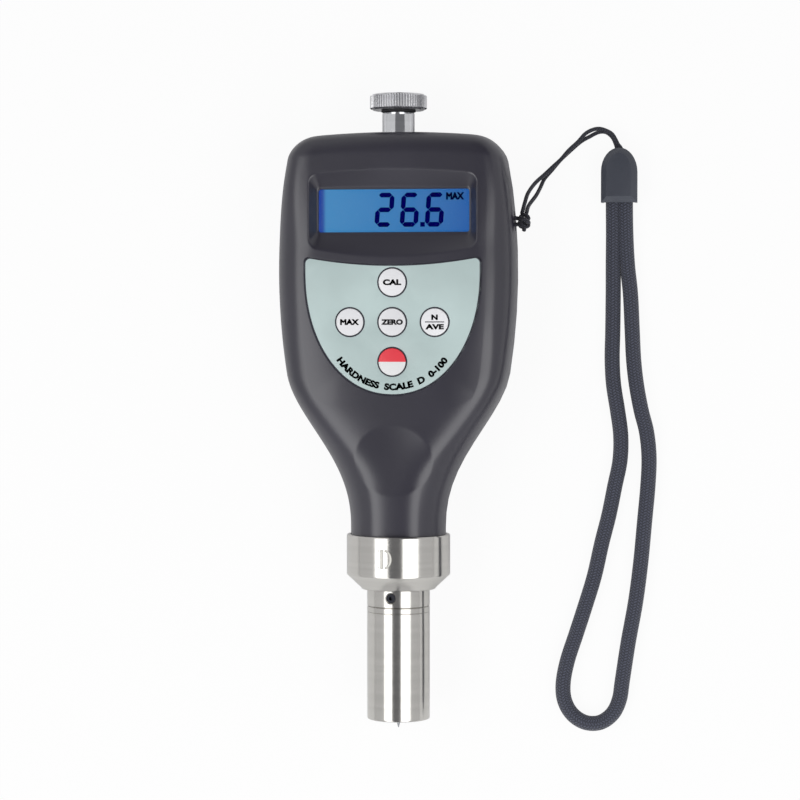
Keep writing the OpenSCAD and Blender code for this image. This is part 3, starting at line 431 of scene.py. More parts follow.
def plain_coat(name, colour, roughness, metallic=0.0, gloss=0.5):
    """A simple surface with a faint cloud in its roughness."""
    material, tree, shader = new_material(name)
    shader.inputs["Specular IOR Level"].default_value = gloss
    shader.inputs["Base Color"].default_value = colour
    shader.inputs["Metallic"].default_value = metallic
    texture = place_group(tree, grain, Cloud_Size=0.004)
    rough_range = (roughness - 0.05, roughness + 0.05)
    tree.links.new(value_range(tree, texture.outputs["Cloud"], *rough_range), shader.inputs["Roughness"])
    add_bump(tree, shader, texture.outputs["Height"], 0.000004)
    return material


black_steel = plain_coat("black_steel", linear(46, 47, 52), 0.4, 1.0)
black_rubber = plain_coat("black_rubber", linear(30, 30, 34), 0.7)
light_plastic = plain_coat("light_plastic", linear(240, 242, 244), 0.4)
contact_rubber = plain_coat("contact_rubber", linear(176, 108, 122), 0.7)
lead_sleeve = plain_coat("lead_sleeve", linear(90, 90, 96), 0.5)
board_green = plain_coat("board_green", linear(34, 104, 62), 0.35)
# Dark ink for the print, also used for the painted shadow in the band round the film's edge.
print_and_shadow_ink = plain_coat("print_and_shadow_ink", linear(64, 64, 72), 0.6, gloss=0.1)
letter_fill = plain_coat("letter_fill", linear(226, 224, 216), 0.6)
# Painted shade for the shaded edge of the cut round the collar's letter.
letter_edge_shade = plain_coat("letter_edge_shade", linear(120, 118, 114), 0.5)
digit_ink = plain_coat("digit_ink", linear(0, 0, 92), 0.6, gloss=0.0)
print("small materials made")

# %% [markdown]
# ## Two-coloured power key
# The power key is one moulding with a red upper half. Two objects could make it, but the line
# between the colours is straight, so the shader compares a point's Y with the middle of the key.

# %% Power key
power_plastic, tree, shader = new_material("power_plastic")
place = tree.nodes.new("ShaderNodeTexCoord")
split = tree.nodes.new("ShaderNodeSeparateXYZ")
tree.links.new(place.outputs["Object"], split.inputs["Vector"])
middle_y = (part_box("key_power")[0][1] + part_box("key_power")[1][1]) / 2
upper = math_node(tree, "GREATER_THAN", split.outputs["Y"], middle_y)
tree.links.new(ramp(tree, upper, linear(234, 234, 234), linear(236, 64, 76)), shader.inputs["Base Color"])
shader.inputs["Roughness"].default_value = 0.4
print("power key turns red above y =", round(middle_y, 4), "m")

# %% [markdown]
# ## Sleeve of the cells
# Four cells lie in the battery bay, in plain sleeves with a coppery band at one end. Generated
# coordinates run from 0 to 1 over each object, so one material fits all four without any UVs.

# %% Sleeve of the cells
cell_wrap, tree, shader = new_material("cell_wrap")
place = tree.nodes.new("ShaderNodeTexCoord")
split = tree.nodes.new("ShaderNodeSeparateXYZ")
tree.links.new(place.outputs["Generated"], split.inputs["Vector"])
band = math_node(tree, "GREATER_THAN", split.outputs["Y"], 0.7)
tree.links.new(ramp(tree, band, linear(38, 40, 46), linear(178, 104, 60)), shader.inputs["Base Color"])
shader.inputs["Metallic"].default_value = 0.6
shader.inputs["Roughness"].default_value = 0.35
print("cell sleeve made")

# %% [markdown]
# ## Backlit glass and its lens
# The display's glass is backlit. A lamp behind a translucent sheet would be slow and noisy, and
# emission gives the same even light. A ramp across the glass holds a dark strip at its left edge, a
# bright band next to it and a slow fall to the right. The lens is clear, with a low index so that it
# hardly mirrors the room.

# %% Display glass and lens materials
LCD_HALF_W = 0.0207
lcd_blue, tree, shader = new_material("lcd_blue")
place = tree.nodes.new("ShaderNodeTexCoord")
split = tree.nodes.new("ShaderNodeSeparateXYZ")
tree.links.new(place.outputs["Object"], split.inputs["Vector"])
across = tree.nodes.new("ShaderNodeMapRange")
across.inputs["From Min"].default_value = -LCD_HALF_W
across.inputs["From Max"].default_value = LCD_HALF_W
tree.links.new(split.outputs["X"], across.inputs["Value"])
glow = tree.nodes.new("ShaderNodeValToRGB")
stops = glow.color_ramp.elements
stops[0].position = 0.0
stops[0].color = linear(30, 60, 150)
stops[1].position = 1.0
stops[1].color = linear(14, 84, 158)
GLOW_STOPS = ((0.025, linear(34, 70, 150)), (0.05, linear(54, 128, 182)), (0.5, linear(40, 114, 174)))
for position, colour in GLOW_STOPS:
    stops.new(position).color = colour
tree.links.new(across.outputs["Result"], glow.inputs["Fac"])
tree.links.new(glow.outputs["Color"], shader.inputs["Emission Color"])
shader.inputs["Emission Strength"].default_value = 1.0
shader.inputs["Base Color"].default_value = (0.01, 0.012, 0.02, 1.0)
shader.inputs["Roughness"].default_value = 0.5

clear_lens, tree, shader = new_material("clear_lens")
shader.inputs["Base Color"].default_value = (1.0, 1.0, 1.0, 1.0)
shader.inputs["Transmission Weight"].default_value = 1.0
shader.inputs["IOR"].default_value = 1.15
shader.inputs["Roughness"].default_value = 0.02
print("display materials made")

# %% [markdown]
# ## Routes of cords
# A cord follows a smooth route. A Bezier curve would need two handles at each point, placed by hand.
# A Catmull-Rom curve passes through every point without any, so a list of places is enough.

# %% Smooth routes


def smooth_route(points, per_span):
    """Catmull-Rom curve through the points, with per_span steps between two of them."""
    pts = [Vector(p) for p in points]
    ends = [2 * pts[0] - pts[1]] + pts + [2 * pts[-1] - pts[-2]]
    curve = []
    for i in range(1, len(ends) - 2):
        a, b, c, d = ends[i - 1:i + 3]
        for k in range(per_span):
            t = k / per_span
            bend = (2 * a - 5 * b + 4 * c - d) * t * t + (3 * b - a - 3 * c + d) * t ** 3
            curve.append(0.5 * (2 * b + (c - a) * t + bend))
    curve.append(pts[-1])
    return curve


def run_length(path):
    return sum((b - a).length for a, b in zip(path, path[1:])) * MM


print("route helpers ready")

# %% [markdown]
# ## Tubes for cords
# A cord is a round tube along its route. A bevelled Blender curve would do, but a mesh of our own
# controls the UVs: u runs round the cord and v along it in metres, which the braid needs. Each ring
# keeps the side of the ring before it, so that the tube doesn't twist.

# %% Tubes along a route


def tube(name, path, radius, sides=16):
    """A closed tube with UVs: u round it and v along it in metres."""
    points, faces, marks = [], [], []
    travelled = 0.0
    side = None
    for i, p in enumerate(path):
        ahead = (path[min(i + 1, len(path) - 1)] - path[max(i - 1, 0)]).normalized()
        if side is None:
            side = ahead.cross(Vector((0, 0, 1))).normalized()
        side = (side - ahead * side.dot(ahead)).normalized()
        up = side.cross(ahead)
        if i:
            travelled += (p - path[i - 1]).length * MM
        for k in range(sides + 1):
            a = 2 * math.pi * k / sides
            points.append(p + radius * (side * math.cos(a) + up * math.sin(a)))
            marks.append((k / sides, travelled))
    ring = sides + 1
    for j in range(len(path) - 1):
        for k in range(sides):
            a = j * ring + k
            faces.append((a, a + 1, a + ring + 1, a + ring))
    last = (len(path) - 1) * ring
    faces.append(tuple(range(sides - 1, -1, -1)))
    faces.append(tuple(range(last, last + sides)))
    piece = mesh_piece(name, points, faces)
    uv = piece.data.uv_layers.new(name="along")
    for loop in piece.data.loops:
        uv.data[loop.index].uv = marks[loop.vertex_index]
    return piece


print("tube helper ready")

# %% [markdown]
# ## Cord material
# The strap is braided yarn and the string a tight twist. Both place the braid group with their own
# counts: its height lifts the bump and, through a ramp, paints shade into the valleys and a painted
# highlight on the crowns; a little sheen gives the yarn's fuzz.

# %% Cord material


def braided_cord(name, colour, columns, stitches, depth):
    material, tree, shader = new_material(name)
    yarn = place_group(tree, braid, Columns_Round=columns, Stitches_Along=stitches)
    # Painted shade in the valleys and a painted highlight on the crowns of the stitches.
    valley_shade = tuple(v * 0.5 for v in colour[:3]) + (1.0,)
    crown_highlight = tuple(min(v * 1.45, 1.0) for v in colour[:3]) + (1.0,)
    tree.links.new(ramp(tree, yarn.outputs["Height"], valley_shade, crown_highlight, 0.05, 0.9), shader.inputs["Base Color"])
    shader.inputs["Roughness"].default_value = 0.75
    shader.inputs["Sheen Weight"].default_value = 0.25
    add_bump(tree, shader, yarn.outputs["Height"], depth)
    return material


strap_braid = braided_cord("strap_braid", linear(66, 69, 83), 14.0, 1250.0, 0.00016)
string_twist = braided_cord("string_twist", linear(42, 43, 54), 4.0, 1200.0, 0.0001)
print("cord materials made")

# %% [markdown]
# ## Strap loop
# The strap is a braided loop about 4 mm thick that ends in a moulded clip and lies on the table. A
# simulation could lay it, but the photograph shows all of it, so its route is a list of points along
# its middle, close to those of the CAD source. Its two ends run side by side into the clip.

# %% Strap loop
CLIP_X, CLIP_TOP_Y, CLIP_LEN, CLIP_T = 59.9, 72.55, 15.0, 7.0
STRAP_D, STRING_D = 4.2, 1.1
STRAP_GAP, STRAP_ENTRY, STRAP_Z = STRAP_D + 0.3, 2.2, STRAP_D / 2
STRAP_CLOSE = 0.6
TOUCH = 0.05
CLIP_END_Y = CLIP_TOP_Y - CLIP_LEN
STRAP_ROUTE = [
    (58.3, 48.35), (58.25, 40.35), (58.25, 32.35), (58.15, 22.35), (58, 14.35), (58.4, 7.35),
    (59.5, 0.35), (60.4, -6.65), (60.2, -13.65), (58.8, -20.65), (57.2, -28.65), (55.2, -36.65),
    (53.2, -45.65), (50.8, -53.65), (48.2, -61.77), (45.8, -69.19), (44.6, -75.55), (45, -80.43),
    (47.2, -84.25), (50.8, -86.45), (54.9, -86.35), (58.3, -83.85), (60.2, -79.79), (61, -74.49),
    (62.6, -63.89), (64.6, -52.65), (66, -41.65), (67, -30.65), (67.9, -20.65), (68.2, -12.65),
    (67.5, -5.65), (66, 0.35), (64.7, 7.35), (63.9, 14.35), (63.5, 22.35), (63, 32.35), (62.15, 40.35),
    (61.7, 48.35)]
left_end = CLIP_X - STRAP_GAP / 2 + STRAP_CLOSE
right_end = CLIP_X + STRAP_GAP / 2 - STRAP_CLOSE
entry_y = CLIP_END_Y + STRAP_ENTRY - TOUCH
strap_points = (
    [(left_end, entry_y, STRAP_Z), (left_end, CLIP_END_Y - 2, STRAP_Z)]
    + [(x, y, STRAP_Z) for x, y in STRAP_ROUTE]
    + [(right_end, CLIP_END_Y - 2, STRAP_Z), (right_end, entry_y, STRAP_Z)])
strap_path = smooth_route(strap_points, 6)
strap = tube("braided_loop", strap_path, STRAP_D / 2, 20)
strap.data.materials.append(strap_braid)
print("strap:", round(run_length(strap_path), 3), "m of braid")

# %% [markdown]
# ## Outline of the case
# The string starts at an eye in the case's side, so the case's outline is needed first. Seen from
# the front, each side is one large arc that narrows to the neck by a smooth step. It could be traced,
# but a formula gives the width at any distance s, here and for the whole skin later.

# %% Outline of the case


def smooth_step(t):
    t = max(0.0, min(1.0, t))
    return t * t * (3 - 2 * t)


def head_share(s):
    """1 in the head of the case and 0 at its neck, with a smooth fall between."""
    return 1.0 - smooth_step((s - WAIST_S) / WAIST_LEN)


def half_width(s):
    side = CASE_W / 2 - (s - WIDEST_S) ** 2 / (2 * SIDE_R)
    return NECK_R + (side - NECK_R) * head_share(s)


KNOT_R = 2.1
STRAP_EYE_S = 24.0
EYE_X = half_width(STRAP_EYE_S)
KNOT_X, KNOT_Y = EYE_X + KNOT_R + 0.4, y_at(STRAP_EYE_S)
print("the strap's eye is", round(EYE_X, 2), "mm from the axis")

# %% [markdown]
# ## String
# A thin doubled string runs from the knot at the case to the clip: it falls to the table and rises
# again into the clip. One tube with a pattern of two would look flat, so each strand is a tube of its
# own, and one lies over the other as in the photograph.

# %% Strands of the string
STRING_LOW = [
    (35.5, 56.5, 11), (37.2, 59.4, 7), (38.2, 61.8, 4), (39.2, 64.3, 1.9), (41.2, 66.8, 0.65),
    (43.6, 69.6, 0.6), (46.5, 72.3, 0.6), (49.2, 74.6, 0.6), (51.5, 75.9, 0.6), (54, 77.1, 0.7),
    (56, 77.1, 1.2), (57.5, 76.1, 2), (58.5, 74.6, 3)]
STRING_HIGH = [
    (34.5, 57.2, 12), (35.2, 60, 9.4), (36.9, 62.9, 6), (39.3, 65.4, 3.2), (41.5, 67.6, 1.95),
    (43.8, 69.7, 1.9), (45.8, 72, 1.9), (48.5, 74.5, 1.9), (50.4, 76.6, 1.9), (52.4, 77.7, 2),
    (54.3, 78.0, 2.2), (56.1, 77.5, 2.6), (57.8, 76.5, 3.2), (58.8, 75.0, 3.5), (59.5, 73.6, 3.5)]
strings = []
for name, route, side in (("string_low", STRING_LOW, -1), ("string_high", STRING_HIGH, 1)):
    shift = side * (STRING_D / 2 + TOUCH)
    start = (KNOT_X - shift, KNOT_Y + KNOT_R + TOUCH, AXIS_Z)
    end = (CLIP_X + shift, CLIP_TOP_Y - 4 + TOUCH, CLIP_T / 2)
    path = smooth_route([start] + route + [(end[0], end[1] + 3.4, end[2]), end], 6)
    strand = tube(name + "_strand", path, STRING_D / 2, 10)
    strand.data.materials.append(string_twist)
    strings.append((strand, path, name))
print("strings:", [round(run_length(path), 3) for _, path, _ in strings], "m")

# %% [markdown]
# ## Cords on the housing
# The strap and both strands of the string ride on the housing, and the CAD pieces that they
# replace are hidden.

for strand, path, name in strings:
    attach(strand, "housing")
    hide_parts(name)
    first = name == "string_low"
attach(strap, "housing")
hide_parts("strap_loop")

# %% [markdown]
# ## Soft boxes
# Turned steel shows its surroundings, and in the photograph its bands are two long soft boxes with a
# dark gap between them. The boxes could be placed by eye. Here each is given by the angles that it
# covers, seen from the axis, because a band's place on a cylinder tells which angle it mirrors. The
# left box ends just past the thumb screw and the right one before it.

# %% Soft boxes
GAP_LEFT, GAP_RIGHT = -17.0, 16.0
BOX_START, BOX_DISTANCE = -0.6, 0.55


def soft_box(name, first, last, end, strength):
    """A lamp over the angles first to last from straight up, left negative, that ends at y = end."""
    middle, half = math.radians((first + last) / 2), math.radians((last - first) / 2)
    data = bpy.data.lights.new(name, "AREA")
    data.shape = "RECTANGLE"
    data.size = 2 * BOX_DISTANCE * math.tan(half)
    data.size_y = end - BOX_START
    data.energy = strength * data.size * data.size_y * math.pi
    lamp = bpy.data.objects.new(name, data)
    bpy.context.scene.collection.objects.link(lamp)
    height = AXIS_Z * MM + BOX_DISTANCE * math.cos(middle)
    lamp.location = (BOX_DISTANCE * math.sin(middle), (BOX_START + end) / 2, height)
    lamp.rotation_euler = (0.0, middle, 0.0)
    return lamp


boxes = [soft_box("left_box", -46.0, GAP_LEFT, 0.12, 2.0), soft_box("right_box", GAP_RIGHT, 51.0, 0.06, 1.9)]
print("soft boxes:", [(box.name, round(box.data.energy, 2)) for box in boxes])

# %% [markdown]
# ## Room
# Round the boxes the room is plain grey, and darker in the gap between them. A room could be
# modelled, but reflections need only a world colour that depends on the direction. Towards the thumb
# screw the dark gap widens to the right, because the right box has ended there. The camera sees white.

# %% World
GAP_RIGHT_HIGH = 53.0
WIDEN_START, WIDEN_END = 0.03, 0.09
GAP_GREY, ROOM_GREY = (0.18, 0.18, 0.19, 1.0), (0.66, 0.66, 0.67, 1.0)
world = bpy.data.worlds.new("studio")
bpy.context.scene.world = world
world.use_nodes = True
tree = world.node_tree
background = tree.nodes["Background"]
place = tree.nodes.new("ShaderNodeTexCoord")
split = tree.nodes.new("ShaderNodeSeparateXYZ")
tree.links.new(place.outputs["Generated"], split.inputs["Vector"])
lean = math_node(tree, "ARCTAN2", split.outputs["X"], split.outputs["Z"])
gap_right = tree.nodes.new("ShaderNodeMapRange")
gap_right.inputs["From Min"].default_value = WIDEN_START
gap_right.inputs["From Max"].default_value = WIDEN_END
gap_right.inputs["To Min"].default_value = math.radians(GAP_RIGHT)
gap_right.inputs["To Max"].default_value = math.radians(GAP_RIGHT_HIGH)
tree.links.new(split.outputs["Y"], gap_right.inputs["Value"])
beside_gap = math_node(
    tree, "ADD", math_node(tree, "GREATER_THAN", lean, gap_right.outputs["Result"]),
    math_node(tree, "LESS_THAN", lean, math.radians(GAP_LEFT)))
rays = tree.nodes.new("ShaderNodeLightPath")
tone = tree.nodes.new("ShaderNodeMix")
tone.data_type = "RGBA"
tree.links.new(rays.outputs["Is Camera Ray"], tone.inputs["Factor"])
tree.links.new(ramp(tree, beside_gap, GAP_GREY, ROOM_GREY), tone.inputs[6])
tone.inputs[7].default_value = (1.0, 1.0, 1.0, 1.0)
tree.links.new(tone.outputs[2], background.inputs["Color"])
print("room made, with its gap from", GAP_LEFT, "to", GAP_RIGHT, "degrees")

# %% [markdown]
# ## Table
# The photograph has a white ground with hardly a shadow. A white plane would still come out grey, so
# most of what the camera sees of it is plain white light, and the rest is the lit plane, which keeps
# the shadow. Reflections and bounced light still meet an ordinary matt table.

# %% Table
FLOOR_HALF, FLOOR_DROP, FLOOR_GLOW = 3000.0, 0.02, 0.93
SQUARE = ((-1, -1), (1, -1), (1, 1), (-1, 1))
floor_corners = [(dx * FLOOR_HALF, dy * FLOOR_HALF, -FLOOR_DROP) for dx, dy in SQUARE]
floor = mesh_piece("floor", floor_corners, [(0, 1, 2, 3)])
floor_white, tree, shader = new_material("floor_white")
shader.inputs["Base Color"].default_value = (0.86, 0.86, 0.86, 1.0)
shader.inputs["Roughness"].default_value = 0.9
shader.inputs["Specular IOR Level"].default_value = 0.0
glow = tree.nodes.new("ShaderNodeEmission")
mix = tree.nodes.new("ShaderNodeMixShader")
rays = tree.nodes.new("ShaderNodeLightPath")
tree.links.new(math_node(tree, "MULTIPLY", rays.outputs["Is Camera Ray"], FLOOR_GLOW), mix.inputs["Fac"])
tree.links.new(shader.outputs["BSDF"], mix.inputs[1])
tree.links.new(glow.outputs["Emission"], mix.inputs[2])
tree.links.new(mix.outputs["Shader"], tree.nodes["Material Output"].inputs["Surface"])
floor.data.materials.append(floor_white)
bpy.context.scene.view_settings.view_transform = "Standard"
print("table laid")

# %% [markdown]
# ## Soft joins
# On a moulding, surfaces seldom meet in a hard line. A bevel could round the edges afterwards, but
# here the rounding changes along the case, so it belongs in the formula: one helper blends two
# heights, one draws in the round upper end, and one bends a circle towards a box.

# %% Helpers of the form


def soft_min(a, b, k):
    """The smaller of two heights, with the corner between them rounded over k."""
    h = max(k - abs(a - b), 0.0) / k
    return min(a, b) - h * h * k / 4


def mix_values(a, b, t):
    return a + (b - a) * t


def end_inset(s):
    """How far the round upper end draws the skin in."""
    d = END_R - s
    return END_R - math.sqrt(max(END_R * END_R - d * d, 0.0)) if d > 0 else 0.0


def signed_power(v, p):
    return math.copysign(abs(v) ** p, v)


print("at its very top the skin is drawn in by", round(end_inset(0.0), 2), "mm")

# %% [markdown]
# ## Form of the case
# The case is a moulding. Its sections are rounded rectangles in the head, squarest at the top and
# rounder beside the keypad, and circles at the neck. A subdivided box could be pushed into shape by
# hand, but a superellipse gives every section by formula: power 2 is a circle, and more is squarer.
# The face cuts each section with a soft edge, and a shallow dish is the rest for the thumb.

# %% Form of the case
DIMPLE_S, DIMPLE_HALF_W, DIMPLE_HALF_L, DIMPLE_DEPTH = 89.0, 10.7, 9.6, 0.8
SOFT_WAIST = 3.2
ROUND_START, ROUND_RUN = 8, 24
SOFT_START, SOFT_RUN, SOFT_END, SOFT_FADE = 50, 15, 78, 16
BOW_RUN = 20


def section_power(s):
    """Power of the rounded section: squarest at the top, rounder at the keypad, a circle at the neck."""
    square = mix_values(SQUARENESS, SIDE_SQUARENESS, smooth_step((s - ROUND_START) / ROUND_RUN))
    return mix_values(2, square, head_share(s) ** 2)


def edge_soft(s):
    """How softly the face turns into the side: most over the waist."""
    begun = smooth_step((s - SOFT_START) / SOFT_RUN)
    ended = smooth_step((s - SOFT_END) / SOFT_FADE)
    return mix_values(FACE_SOFT, SOFT_WAIST, begun * (1 - ended))


def front_point(s, angle):
    """A point of the front skin, from angle 0 on the right to 180 on the left."""
    share = head_share(s)
    square = share * share
    inset = end_inset(s)
    power = 2 / section_power(s)
    a = math.radians(angle)
    x = (half_width(s) - inset) * signed_power(math.cos(a), power)
    over = (mix_values(NECK_R, FRONT_H + FRONT_OVER, square) - inset) * abs(math.sin(a)) ** power
    face = mix_values(NECK_FACE, FRONT_H, share) - inset
    z = soft_min(over, face, edge_soft(s))
    away = math.hypot(x / DIMPLE_HALF_W, (s - DIMPLE_S) / DIMPLE_HALF_L)
    z -= DIMPLE_DEPTH * max(0.0, 1 - away * away)
    bow = x * x / (2 * TOP_R) * (1 - smooth_step(s / BOW_RUN))
    return Vector((x, y_at(s) - bow, AXIS_Z + z))


def face_z(x, s):
    """Height of the front skin over a place x and s."""
    reach = min(abs(x) / (half_width(s) - end_inset(s)), 1.0)
    return front_point(s, math.degrees(math.acos(reach ** (section_power(s) / 2)))).z


print("case is", round(2 * half_width(WIDEST_S), 1), "mm wide")

# %% [markdown]
# ## Outlines of the recess and window
# The display lies in a sloped recess with bowed long sides and a window at its bottom. Curves could
# be drawn and projected on the face, but lists of points in x and s are easier to join ring to ring.
# Both outlines have the same count of points, so that a slope can join them.

# %% Outlines of the recess and window
WINDOW_W, WINDOW_H, WINDOW_S = 41.4, 12.0, 21.4
RECESS_W, RECESS_ABOVE, RECESS_BELOW = 45.8, 4.0, 4.2
RECESS_BOW_ABOVE, RECESS_BOW_BELOW = 1.5, 2.6
RECESS_Z, LENS_TOP = 25.2, 24.15
RECESS_CORNER, WINDOW_CORNER = 2.4, 0.9


def arc_point(cx, cs, radius, degrees):
    turn = math.radians(degrees)
    return (cx + radius * math.cos(turn), cs + radius * math.sin(turn))


def rounded_box(half_w, top, bottom, radius, bow_top=0.0, bow_bottom=0.0):
    """Outline in x and s of a box with round corners and bowed long sides."""
    outline = []
    corner_steps, long_steps, short_steps = 8, 40, 12
    corners = [(half_w - radius, top + radius, -90), (half_w - radius, bottom - radius, 0),
               (-half_w + radius, bottom - radius, 90), (-half_w + radius, top + radius, 180)]
    for i, (cx, cs, start) in enumerate(corners):
        arc = [arc_point(cx, cs, radius, start + 90 * k / corner_steps) for k in range(corner_steps + 1)]
        outline += arc
        last_x, last_s = arc[-1]
        nx, ns, next_start = corners[(i + 1) % 4]
        goal_x, goal_s = arc_point(nx, ns, radius, next_start)
        steps = long_steps if i % 2 else short_steps
        outline += [(mix_values(last_x, goal_x, k / steps), mix_values(last_s, goal_s, k / steps))
                    for k in range(1, steps)]
    middle = (top + bottom) / 2
    bowed = []
    for x, s in outline:
        bend = max(0.0, 1 - (x / half_w) ** 2)
        reach = (s - middle) / (bottom - middle)
        bowed.append((x, s + bend * (bow_bottom * max(reach, 0.0) - bow_top * max(-reach, 0.0))))
    return bowed


window_start, window_end = WINDOW_S - WINDOW_H / 2, WINDOW_S + WINDOW_H / 2
recess_rim = rounded_box(RECESS_W / 2, window_start - RECESS_ABOVE, window_end + RECESS_BELOW,
                         RECESS_CORNER, RECESS_BOW_ABOVE, RECESS_BOW_BELOW)
window_rim = rounded_box(WINDOW_W / 2, window_start, window_end, WINDOW_CORNER)
print("outline points:", len(recess_rim), "and", len(window_rim))

# %% [markdown]
# ## Outlines of the keypad
# The keypad film is a half ellipse with short straight sides and a bowed top edge, and its keys stand
# in a cross. The outline could be traced, but a formula can also be grown a little, which gives the
# pocket round the film and the dark band on it, printed border and painted shadow, from one shape.

# %% Outlines of the keypad
PANEL_W, PANEL_H, PANEL_BOW, PANEL_S = 47.8, 37.1, 2.0, 34.1
PANEL_SIDE, PANEL_FULLNESS, PANEL_CORNER = 4.0, 2.1, 1.3
POCKET_Z, POCKET_ROOM = CASE_T - 0.5, 0.15
KEY_PITCH_X, KEY_PITCH_S, KEY_ROW_S, KEY_D = 11.5, 10.7, 51.5, 7.0
KEYS = {"calibrate": (0, -1), "maximum": (-1, 0), "zero": (0, 0), "average": (1, 0), "power": (0, 1)}


def key_place(key):
    """Place in x and s of the middle of a key."""
    column, row = KEYS[key]
    return (column * KEY_PITCH_X, KEY_ROW_S + row * KEY_PITCH_S)


def grown(outline, d):
    """The outline moved out by d along its own normals."""
    result = []
    for i, (x, s) in enumerate(outline):
        ax, as_ = outline[i - 1]
        bx, bs = outline[(i + 1) % len(outline)]
        tx, ts = bx - ax, bs - as_
        size = math.hypot(tx, ts) or 1.0
        result.append((x + d * ts / size, s - d * tx / size))
    return result


def panel_outline(grow):
    """A full half ellipse under short straight sides and a bowed top edge, with round upper corners."""
    half, top, wide = PANEL_W / 2 + grow, PANEL_S - grow, PANEL_S + PANEL_SIDE
    reach, power = PANEL_H - PANEL_SIDE + grow, 2 / PANEL_FULLNESS
    angles = [math.pi * k / 120 for k in range(121)]
    curve = [(half * signed_power(math.cos(a), power), wide + reach * math.sin(a) ** power) for a in angles]
    turns = [math.pi * k / 16 for k in range(9)]
    left = [(-half + PANEL_CORNER * (1 - math.cos(t)), top + PANEL_CORNER * (1 - math.sin(t))) for t in turns]
    inner = half - PANEL_CORNER
    spread = [mix_values(-inner, inner, k / 60) for k in range(1, 60)]
    bowed = [(x, top + PANEL_BOW * (1 - (x / inner) ** 2)) for x in spread]
    right = [(-x, s) for x, s in reversed(left)]
    return curve + left + bowed + right


def circle_outline(x, s, radius, steps=48):
    turns = [2 * math.pi * k / steps for k in range(steps)]
    return [(x + radius * math.cos(t), s + radius * math.sin(t)) for t in turns]


pocket_rim = panel_outline(POCKET_ROOM)
print("pocket outline:", len(pocket_rim), "points, keys:", len(KEYS))

# %% [markdown]
# ## Mesh builder
# A skin is built from rings of points that are joined one to the next. BMesh operators could bridge
# them, but a small class keeps the order of the points plain. Flat stretches with holes are filled
# by Blender's own Delaunay triangulation, which respects the edges that it is given.

# %% Mesh builder


def inside(point, outline):
    x, s = point
    odd = False
    for (ax, as_), (bx, bs) in zip(outline, outline[1:] + outline[:1]):
        if (as_ > s) != (bs > s) and x < (bx - ax) * (s - as_) / (bs - as_) + ax:
            odd = not odd
    return odd


class Skin:
    """Points and faces of one mesh, with rings that are joined one to the next."""

    def __init__(self):
        self.points, self.faces = [], []

    def ring(self, coords):
        first = len(self.points)
        self.points += [tuple(c) for c in coords]
        return list(range(first, first + len(coords)))

    def join(self, a, b, closed=True):
        count = len(a)
        for i in range(count if closed else count - 1):
            k = (i + 1) % count
            self.faces.append((a[i], a[k], b[k], b[i]))

    def fill(self, outer, holes):
        """Triangles between an outer loop and holes, all given as loops of point numbers."""
        loops = [outer] + holes
        flat, numbers, edges = [], [], []
        for loop in loops:
            first = len(flat)
            for n in loop:
                x, y, _ = self.points[n]
                flat.append(Vector((x, TOP_Y - y)))
                numbers.append(n)
            edges += [(first + i, first + (i + 1) % len(loop)) for i in range(len(loop))]
        outlines = [[(self.points[n][0], TOP_Y - self.points[n][1]) for n in loop] for loop in loops]
        _, _, triangles, origin, _, _ = delaunay_2d_cdt(flat, edges, [], 0, 1e-6)
        for tri in triangles:
            corners = [origin[i][0] for i in tri]
            centre = (sum(flat[c][0] for c in corners) / 3, sum(flat[c][1] for c in corners) / 3)
            if inside(centre, outlines[0]) and not any(inside(centre, hole) for hole in outlines[1:]):
                self.faces.append(tuple(numbers[c] for c in corners))


print("mesh builder ready")

# %% [markdown]
# ## Rows of the front shell
# The form of the front shell is sampled in rows across the case. Even rows would be simpler, but
# then the dimple would look faceted or the plain stretches would waste faces. So the rows stand
# closer together where the form turns quickly, and some of them fall on the rims of the openings.

# %% Rows of the front shell
EYE_L, EYE_H, EYE_DEPTH = 5.4, 4.2, 4.0
COLUMN_STEP = 1.25
PATCH_START, PATCH_END = 9.0, 74.0
NECK_END_S = CASE_LEN + 8.6
FINE_START, FINE_END = 77, 104
eye_rows = (STRAP_EYE_S - EYE_L / 2, STRAP_EYE_S + EYE_L / 2)


def spaced(start, stop, step):
    count = max(1, round((stop - start) / step))
    return [mix_values(start, stop, k / count) for k in range(count)]


ROW_SPANS = (
    (END_R, PATCH_START, 1), (PATCH_START, eye_rows[0], 1.3), (eye_rows[0], eye_rows[1], 1.35),
    (eye_rows[1], PATCH_END, 1.3), (PATCH_END, FINE_START, 1), (FINE_START, FINE_END, 0.4),
    (FINE_END, CASE_LEN, 0.8), (CASE_LEN, NECK_END_S, 2.2))
rows = [END_R * (1 - math.cos(math.radians(q))) for q in range(0, 90, 5)]
for start, stop, step in ROW_SPANS:
    rows += spaced(start, stop, step)
rows.append(NECK_END_S)
angles = [COLUMN_STEP * k for k in range(1, round(180 / COLUMN_STEP))]
print("rows:", len(rows), "and angles in a row:", len(angles))

# %% [markdown]
# ## Grid of the front shell
# Each row runs from the seam on one side over the face to the seam on the other. A cube with a
# subdivision surface would smooth away the edge of the face, so the rows are joined as they are. The
# patch round the display and keypad stays open for now, and so does the eye for the strap.

# %% Grid of the front shell
SEAM_IN, FULL_RISE = 0.16, 2.85
PATCH_ANGLE = 50.0


